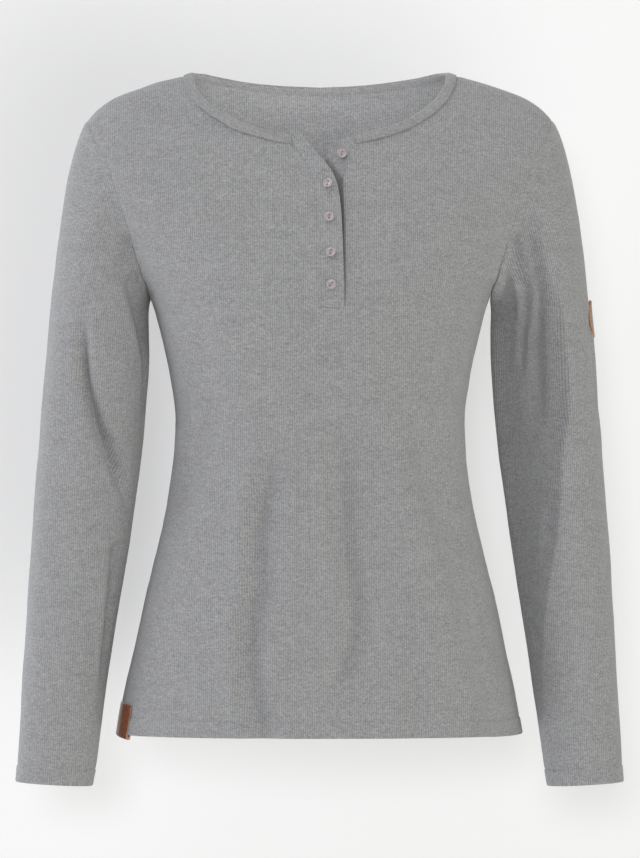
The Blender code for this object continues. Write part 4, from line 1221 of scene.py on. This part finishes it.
def fillSockets(tree, node, inputs):
    # a value or a link on each named or numbered input
    for name, value in dict(inputs).items():
        if isinstance(value, bpy.types.NodeSocket):
            tree.links.new(value, node.inputs[name])
        else:
            node.inputs[name].default_value = value


def addNode(tree, kind, inputs=(), **settings):
    node = tree.nodes.new("ShaderNode" + kind)
    for name, value in settings.items():
        setattr(node, name, value)
    fillSockets(tree, node, inputs)
    return node


def mathNode(tree, operation, *inputs):
    return addNode(tree, "Math", enumerate(inputs), operation=operation).outputs[0]


def vectorNode(tree, operation, inputs, output="Vector"):
    return addNode(tree, "VectorMath", inputs, operation=operation).outputs[output]


def addScaled(tree, total, *parts):
    # a sum with each part times its strength
    for part, strength in parts:
        total = mathNode(tree, "ADD", total, mathNode(tree, "MULTIPLY", part, strength))
    return total


def newMaterial(name, **inputs):
    material = bpy.data.materials.new(name)
    material.use_nodes = True
    tree = material.node_tree
    shader = tree.nodes["Principled BSDF"]
    fillSockets(tree, shader, {"Metallic": 0.0, **inputs})
    return material, shader, tree


knit = {
    "ribPitch": 2.04,
    "ribSharpness": 0.7,
    "loopPitch": 1.15,
    "loopSlant": 1.3,
    "relief": 0.24,  # height of a rib
    "loopRelief": 0.12,  # of the loops and the fuzz, as shares of it
    "fuzzRelief": 0.5,
    "stray": 0.9,  # how far a rib strays sideways
    # noises: cells across and along the ribs, detail and seed
    "wander": (9, 14, 1, 3.1),
    "fuzz": (0.9, 0.9, 2, 7.7),
    "slub": (6, 1.4, 3, 1.7),
    "fleck": (1.2, 1.7, 1, 5.3),
    "cloud": (34, 12, 2, 9.1),
    # how strong the streaks, flecks and clouds of the melange yarn are, and the shade painted into the
    # grooves
    "shades": {"slub": 1.05, "fleck": 1.6, "cloud": 0.3},
    "paintedGrooveShade": 0.42,
    "ribMean": 0.58,
    "paintedInsideLight": 1.12,  # painted light: the reverse is made paler, standing in for light on the shaded inside
    "shade": 0.58,  # painted shadow: how dark the lower band is made close beside the upper one's edge
    "paintedShadowReach": (5.5, 10.5),  # the painted shadow is full up to there, and none past there
    "paintedShadowZ": (-103, -70),  # where that edge slants
    "paintedShadowStraightZ": -140,  # and where it is straight
    "dark": (0.205, 0.206, 0.209),
    "light": (0.395, 0.396, 0.400),
    "surface": {"Roughness": 0.95, "Sheen Weight": 0.35, "Sheen Roughness": 0.45, "Specular IOR Level": 0.12},
}


def ribGroup():
    # ribs that run along the cloth, V-shaped loops on them and melange yarn, with shade painted into the
    # grooves between the ribs
    tree = bpy.data.node_groups.new("ribKnit", "ShaderNodeTree")
    tree.interface.new_socket("Shade", in_out="OUTPUT", socket_type="NodeSocketFloat")
    tree.interface.new_socket("Normal", in_out="OUTPUT", socket_type="NodeSocketVector")
    cloth = addNode(tree, "UVMap", uv_map="cloth")
    u, v = addNode(tree, "SeparateXYZ", {0: cloth.outputs[0]}).outputs[:2]

    def noise(name):
        alongU, alongV, detail, seed = knit[name]
        spot = addNode(tree, "CombineXYZ", {0: mathNode(tree, "MULTIPLY", u, 1 / (alongU * mm)),
                                            1: mathNode(tree, "MULTIPLY", v, 1 / (alongV * mm)), 2: seed})
        return addNode(tree, "TexNoise", {"Vector": spot.outputs[0], "Scale": 1.0, "Detail": detail,
                                          "Roughness": 0.6}).outputs[0]

    u = addScaled(tree, u, (mathNode(tree, "SUBTRACT", noise("wander"), 0.5), knit["stray"] * mm))
    phase = mathNode(tree, "MULTIPLY", u, math.tau / (knit["ribPitch"] * mm))
    wave = addScaled(tree, 0.5, (mathNode(tree, "COSINE", phase), 0.5))
    rib = mathNode(tree, "POWER", wave, knit["ribSharpness"])
    climb = mathNode(tree, "MULTIPLY", v, math.tau / (knit["loopPitch"] * mm))
    slant = mathNode(tree, "ABSOLUTE", mathNode(tree, "SINE", phase))
    loops = mathNode(tree, "SINE", addScaled(tree, climb, (slant, knit["loopSlant"])))
    height = addScaled(tree, rib, (loops, knit["loopRelief"]), (noise("fuzz"), knit["fuzzRelief"]))
    bump = addNode(tree, "Bump", {"Strength": 1.0, "Distance": knit["relief"] * mm, "Height": height})
    parts = [(mathNode(tree, "SUBTRACT", noise(name), 0.5), shade) for name, shade in knit["shades"].items()]
    # painted shade: the grooves between the ribs are darker in colour
    parts.append((mathNode(tree, "SUBTRACT", rib, knit["ribMean"]), knit["paintedGrooveShade"]))
    end = tree.nodes.new("NodeGroupOutput")
    fillSockets(tree, end, {"Shade": addScaled(tree, 0.5, *parts), "Normal": bump.outputs[0]})
    return tree


def paintedEdgeShadow(tree):
    # painted shadow: 1, and less beside the upper band's edge, where that band would shade the lower one; the
    # edge slants off near the neck
    x, _, z = addNode(tree, "SeparateXYZ", {0: addNode(tree, "TexCoord").outputs["Object"]}).outputs
    below, above = knit["paintedShadowZ"]
    low, high, straight = (float(opening.at("freeEdge", h)) for h in (below, above, knit["paintedShadowStraightZ"]))
    slope = (high - low) / (above - below)
    edge = mathNode(tree, "MULTIPLY_ADD", z, slope, (low - slope * below) * mm)
    edge = mathNode(tree, "MINIMUM", edge, straight * mm)
    near, far = knit["paintedShadowReach"]
    return addNode(tree, "MapRange", {0: mathNode(tree, "SUBTRACT", x, edge), "From Min": near * mm,
                                      "From Max": far * mm, "To Min": knit["shade"], "To Max": 1.0},
                   interpolation_type="SMOOTHSTEP").outputs[0]


def jerseyMaterial(name, group, paler=1.0, paintedShadow=False):
    material, shader, tree = newMaterial(name, **knit["surface"])
    ribs = addNode(tree, "Group", node_tree=group)
    dark, light = ((*(paler * c for c in knit[tone]), 1) for tone in ("dark", "light"))
    mix = addNode(tree, "Mix", {0: ribs.outputs["Shade"], 6: dark, 7: light}, data_type="RGBA")
    tone = mix.outputs[2]
    # the upper band's shadow on the lower band is painted into its colour
    if paintedShadow:
        tone = vectorNode(tree, "SCALE", {0: tone, "Scale": paintedEdgeShadow(tree)})
    fillSockets(tree, shader, {"Base Color": tone, "Normal": ribs.outputs["Normal"]})
    return material


def mottle(tree, shader, noise, stops, tones):
    # two tones mixed by noise on the object's own coordinates, which are returned
    place = addNode(tree, "TexCoord").outputs["Object"]
    ramp = addNode(tree, "ValToRGB", {0: addNode(tree, "TexNoise", {"Vector": place, **noise}).outputs[0]})
    for element, stop, tone in zip(ramp.color_ramp.elements, stops, tones):
        element.position, element.color = stop, (*tone, 1)
    tree.links.new(ramp.outputs[0], shader.inputs["Base Color"])
    return place


def pearlMaterial():
    material, shader, tree = newMaterial("pearl", **{"Roughness": 0.22, "Coat Weight": 0.4,
                                                    "Coat Roughness": 0.08})
    mottle(tree, shader, {"Scale": 420.0, "Detail": 3.0, "Distortion": 1.2}, (0.3, 0.7),
           ((0.33, 0.28, 0.29), (0.48, 0.42, 0.43)))
    return material


def leatherMaterial(name, tones, roughness, grain, coat):
    material, shader, tree = newMaterial(name, **{"Roughness": roughness, "Specular IOR Level": 0.3,
                                                  "Coat Weight": coat, "Coat Roughness": 0.2})
    place = mottle(tree, shader, {"Scale": 260.0, "Detail": 5.0}, (0.35, 0.7), tones)
    cells = addNode(tree, "TexVoronoi", {"Vector": place, "Scale": 1500.0})
    bump = addNode(tree, "Bump", {"Strength": 0.5, "Distance": grain * mm, "Height": cells.outputs[0]})
    tree.links.new(bump.outputs[0], shader.inputs["Normal"])
    return material


def plainMaterial(name, colour, roughness=0.8):
    return newMaterial(name, **{"Roughness": roughness, "Base Color": (*colour, 1)})[0]


# build

knitGroup = ribGroup()
jersey = jerseyMaterial("grey_rib_jersey", knitGroup)
# the reverse, painted paler as light on the shaded inside of the garment
reverse = jerseyMaterial("jersey_reverse_painted_light", knitGroup, paler=knit["paintedInsideLight"])
# the lower band's jersey, with the upper band's shadow painted on beside its edge
paintedShadow = jerseyMaterial("jersey_painted_shadow", knitGroup, paintedShadow=True)
leathers = (
    leatherMaterial("cognac_leather", ((0.135, 0.036, 0.012), (0.235, 0.070, 0.024)), 0.5, 0.12, 0.5),
    leatherMaterial("raw_leather_edge", ((0.38, 0.20, 0.12), (0.52, 0.31, 0.20)), 0.75, 0.05, 0.0),
)
greyThread = plainMaterial("grey_thread", (0.29, 0.29, 0.295))
rustThread = plainMaterial("rust_thread", (0.20, 0.075, 0.03))

panels = {(face, side): layPanel(face, side) for face in (front, back) for side in (rightSide, leftSide)}
sleeves = {side: laySleeve(panels, side) for side in (rightSide, leftSide)}
print("panels and sleeves laid")

# node, grids, material, wall, how the sheet is held, the piece that it rests on
cloths = (
    ("front", [panels[front, rightSide], panels[front, leftSide], belowOpening(panels)], jersey,
     garment["wall"], "draped", "back"),
    ("back", [panels[back, rightSide], panels[back, leftSide]], jersey, garment["wall"], "draped", "front"),
    ("sleeve_right", [sleeves[rightSide]], jersey, garment["wall"], "draped", "back"),
    ("sleeve_left", [sleeves[leftSide]], jersey, garment["wall"], "draped", "back"),
    ("neck_binding", [layBinding(panels)], jersey, binding["wall"], "folded", "back"),
    ("placket_upper", [layBand(upperBandRows(), 1)], jersey, bands["wall"], "folded", "front"),
    ("placket_under", [layBand(underBandRows(), -1)], paintedShadow, bands["wall"], "folded", "front"),
)
pieces = {}
for node, grids, material, wall, _, _ in cloths:
    mesh = joinGrids(node + "_made", grids)
    pieces[node] = finishPiece(node + "_made", mesh, (material, reverse), node, wall)
print("cloth made")
addButtons(pearlMaterial(), plainMaterial("button_thread", (0.34, 0.29, 0.30)))
addLabel(leathers)
addPatch(leathers)
print("buttons and leather made")


def addAllStitches():
    row = hemRuns.index(garment["hemDepth"])
    addStitches("hem_stitches", [(grid["points"][row], grid["normals"][row]) for grid in panels.values()],
                greyThread)
    addStitches("cuff_stitches", [(grid["points"][-1 - row], grid["normals"][-1 - row])
                                  for grid in sleeves.values()], greyThread)
    points, normals, into = neckPath(panels)
    addStitches("binding_stitches", [(points + into * inward + normals * above, normals * shows)
                                     for inward, above, shows in stitches["binding"]], greyThread, "fine")
    low = garment["slitEndZ"]
    heights = np.linspace(low + 1.5, -70, 60)
    fromEdge, above = stitches["band"]
    across = np.linspace(*stitches["barAcross"], 14)
    addStitches("placket_stitches", [
        chestSkin(opening.at("rightEdge", heights) + fromEdge, heights, above),
        chestSkin(across, 0 * across + low + stitches["barUp"], np.linspace(*stitches["barLift"], 14)),
    ], greyThread, "fine")
    angle = np.radians(np.linspace(0, 360, 73))
    ring = np.column_stack((np.cos(angle), np.sin(angle), 0 * angle))
    ring = ring * (leather["patchRadius"] - leather["patchStitches"])
    ring[:, 2] = leather["patchWall"]
    places = patchPlace(ring)
    addStitches("patch_stitches", [(places, patchPlace(ring + np.array((0, 0, 1.0))) - places)], rustThread)


addAllStitches()
print("stitches made")


# what each sheet of cloth measures flat

def flatSize(mesh):
    uv = np.zeros(len(mesh.loops) * 2)
    mesh.uv_layers["cloth"].data.foreach_get("uv", uv)
    return (float(x) for x in np.ptp(uv.reshape(-1, 2), axis=0))


for node, _, _, _, held, carries in cloths:
    piece = pieces[node]
    width, length = flatSize(piece.data)
    area = sum(face.area for face in piece.data.polygons)
    if node == "neck_binding":
        width = width / binding["ribStretch"]
    if node.startswith("placket"):
        width = area / length  # the bands lean, so this is their width along a row
    print(f"{node}: {width * 1000:.0f} x {length * 1000:.0f} mm, {area:.4f} m2")


# surroundings

view = {
    "distance": 5.5,
    "height": -0.3328,
    "lens": 245.5,
    "background": 0.896,
    "floorZ": -1.0,
    "floorTone": 0.8,
    "floorSize": 2.5,  # from its middle to a side
}
studio = {
    # broad soft lights: azimuth (0 in front, 90 at the wearer's left), elevation, strength
    "soft": ((-90, -30, 3.25), (-90, 10, 0.82), (-90, 50, 2.05), (-60, 50, 1.2), (30, -30, 2.56),
             (60, -30, 1.6), (60, 10, 0.2), (60, 50, 0.68), (0, 90, 1.26), (160, 12, 1.2), (-160, 12, 1.2)),
    "spread": 9.0,  # the higher, the smaller each one is
    "leftTint": (0.985, 0.99, 1.03),
    "rightTint": (1.01, 1.01, 0.96),
    "sunFrom": (-0.085, -1.0, 0.15),
    "sunSize": 13.0,  # degrees
    "sun": 0.72,
    "neckLamp": 0.155,  # watts, for the inside of the back
    "neckLampSize": (0.2, 0.04),
    "neckLampAt": (0, -0.02, -0.09),
    "neckLampTo": (0, 0.25, 1),
    "backdropY": 0.2,
    "backdropRadius": 1.0,
    "backdropFade": 3,  # over one part in so many of its radius
    "backdropTone": 0.6,
    "backdropGlow": 0.35,
}


def grey(tone):
    return (tone, tone, tone, 1)


def directionFrom(azimuth, elevation):
    a, e = math.radians(azimuth), math.radians(elevation)
    return math.sin(a) * math.cos(e), -math.cos(a) * math.cos(e), math.sin(e)


def addWorld():
    # the camera sees a plain pale ground; the soft lights are lobes in the surroundings
    world = bpy.data.worlds.new("studio")
    bpy.context.scene.world = world
    world.use_nodes = True
    tree = world.node_tree
    tree.nodes.clear()
    way = addNode(tree, "TexCoord").outputs["Generated"]
    total = None
    for azimuth, elevation, power in studio["soft"]:
        dot = vectorNode(tree, "DOT_PRODUCT", {0: way, 1: directionFrom(azimuth, elevation)}, "Value")
        lobe = mathNode(tree, "POWER", mathNode(tree, "MAXIMUM", dot, 0.0), studio["spread"])
        tint = studio["leftTint" if azimuth < 0 else "rightTint"]
        light = vectorNode(tree, "SCALE", {0: tint, "Scale": mathNode(tree, "MULTIPLY", lobe, power)})
        total = vectorNode(tree, "ADD", {0: total, 1: light}) if total else light
    lit = addNode(tree, "Background", {"Color": total})
    seen = addNode(tree, "Background", {"Color": grey(view["background"])})
    toCamera = addNode(tree, "LightPath").outputs["Is Camera Ray"]
    mix = addNode(tree, "MixShader", {0: toCamera, 1: lit.outputs[0], 2: seen.outputs[0]})
    addNode(tree, "OutputWorld", {0: mix.outputs[0]})


def addLamp(name, kind, axis, towards, **settings):
    # a lamp with an axis of its own pointing towards a direction
    lamp = bpy.data.lights.new(name, kind)
    for key, value in settings.items():
        setattr(lamp, key, value)
    made = newObject(name, lamp)
    made.rotation_euler = Vector(towards).to_track_quat(axis, "Y").to_euler()
    return made


def addLamps():
    addLamp("sun", "SUN", "Z", studio["sunFrom"], energy=studio["sun"], color=studio["leftTint"],
            angle=math.radians(studio["sunSize"]))
    # a small soft lamp in the neck, out of sight
    wide, deep = studio["neckLampSize"]
    inNeck = addLamp("neckLamp", "AREA", "-Z", studio["neckLampTo"], shape="RECTANGLE", size=wide,
                     size_y=deep, energy=studio["neckLamp"])
    inNeck.location = studio["neckLampAt"]
    inNeck.visible_camera = False


def addGround(name, size, place, material):
    bm = bmesh.new()
    bmesh.ops.create_grid(bm, x_segments=1, y_segments=1, size=size, matrix=place)
    mesh = meshFrom(bm, name)
    mesh.materials.append(material)
    return newObject(name, mesh)


def addBackdrop():
    # a pale wall close behind, which takes the shadow; it is seen from the front only,
    # takes no light from the garment and fades into the ground at its edges
    radius, centre = studio["backdropRadius"], (0, studio["backdropY"], view["height"])
    material, shader, tree = newMaterial("pale_wall", **{
        "Roughness": 1.0, "Specular IOR Level": 0.0, "Base Color": grey(studio["backdropTone"]),
        "Emission Color": grey(1), "Emission Strength": studio["backdropGlow"]})
    spot = addNode(tree, "TexCoord").outputs["Object"]
    left = mathNode(tree, "SUBTRACT", radius, vectorNode(tree, "DISTANCE", {0: spot, 1: centre}, "Value"))
    inside = mathNode(tree, "MULTIPLY", left, studio["backdropFade"] / radius)
    inside = mathNode(tree, "MINIMUM", mathNode(tree, "MAXIMUM", inside, 0.0), 1.0)
    ahead = mathNode(tree, "SUBTRACT", 1.0, addNode(tree, "NewGeometry").outputs["Backfacing"])
    seen = mathNode(tree, "MULTIPLY", addNode(tree, "LightPath").outputs["Is Camera Ray"], ahead)
    mix = addNode(tree, "MixShader", {0: mathNode(tree, "MULTIPLY", seen, inside),
                                      1: addNode(tree, "BsdfTransparent").outputs[0], 2: shader.outputs[0]})
    tree.links.new(mix.outputs[0], tree.nodes["Material Output"].inputs["Surface"])
    upright = Matrix.Translation(centre) @ Matrix.Rotation(math.pi / 2, 4, "X")
    addGround("backdrop", radius, upright, material)


def addFloor():
    floor = addGround("floor", view["floorSize"], Matrix.Translation((0, 0, view["floorZ"])),
                      plainMaterial("pale_floor", (view["floorTone"],) * 3, 0.9))
    floor.visible_shadow = False  # so that the soft light from below gets past it
    floor.visible_diffuse = False
    floor.visible_glossy = False


def addCamera():
    camera = bpy.data.cameras.new("camera")
    camera.lens = view["lens"]
    camera.sensor_width = 36
    camera.clip_end = 50
    made = newObject("camera", camera)
    made.location = (0, -view["distance"], view["height"])
    made.rotation_euler = (math.pi / 2, 0, 0)
    bpy.context.scene.camera = made


addWorld()
addLamps()
addBackdrop()
addFloor()
addCamera()
bpy.context.scene.view_settings.view_transform = "Standard"
print("surroundings made")
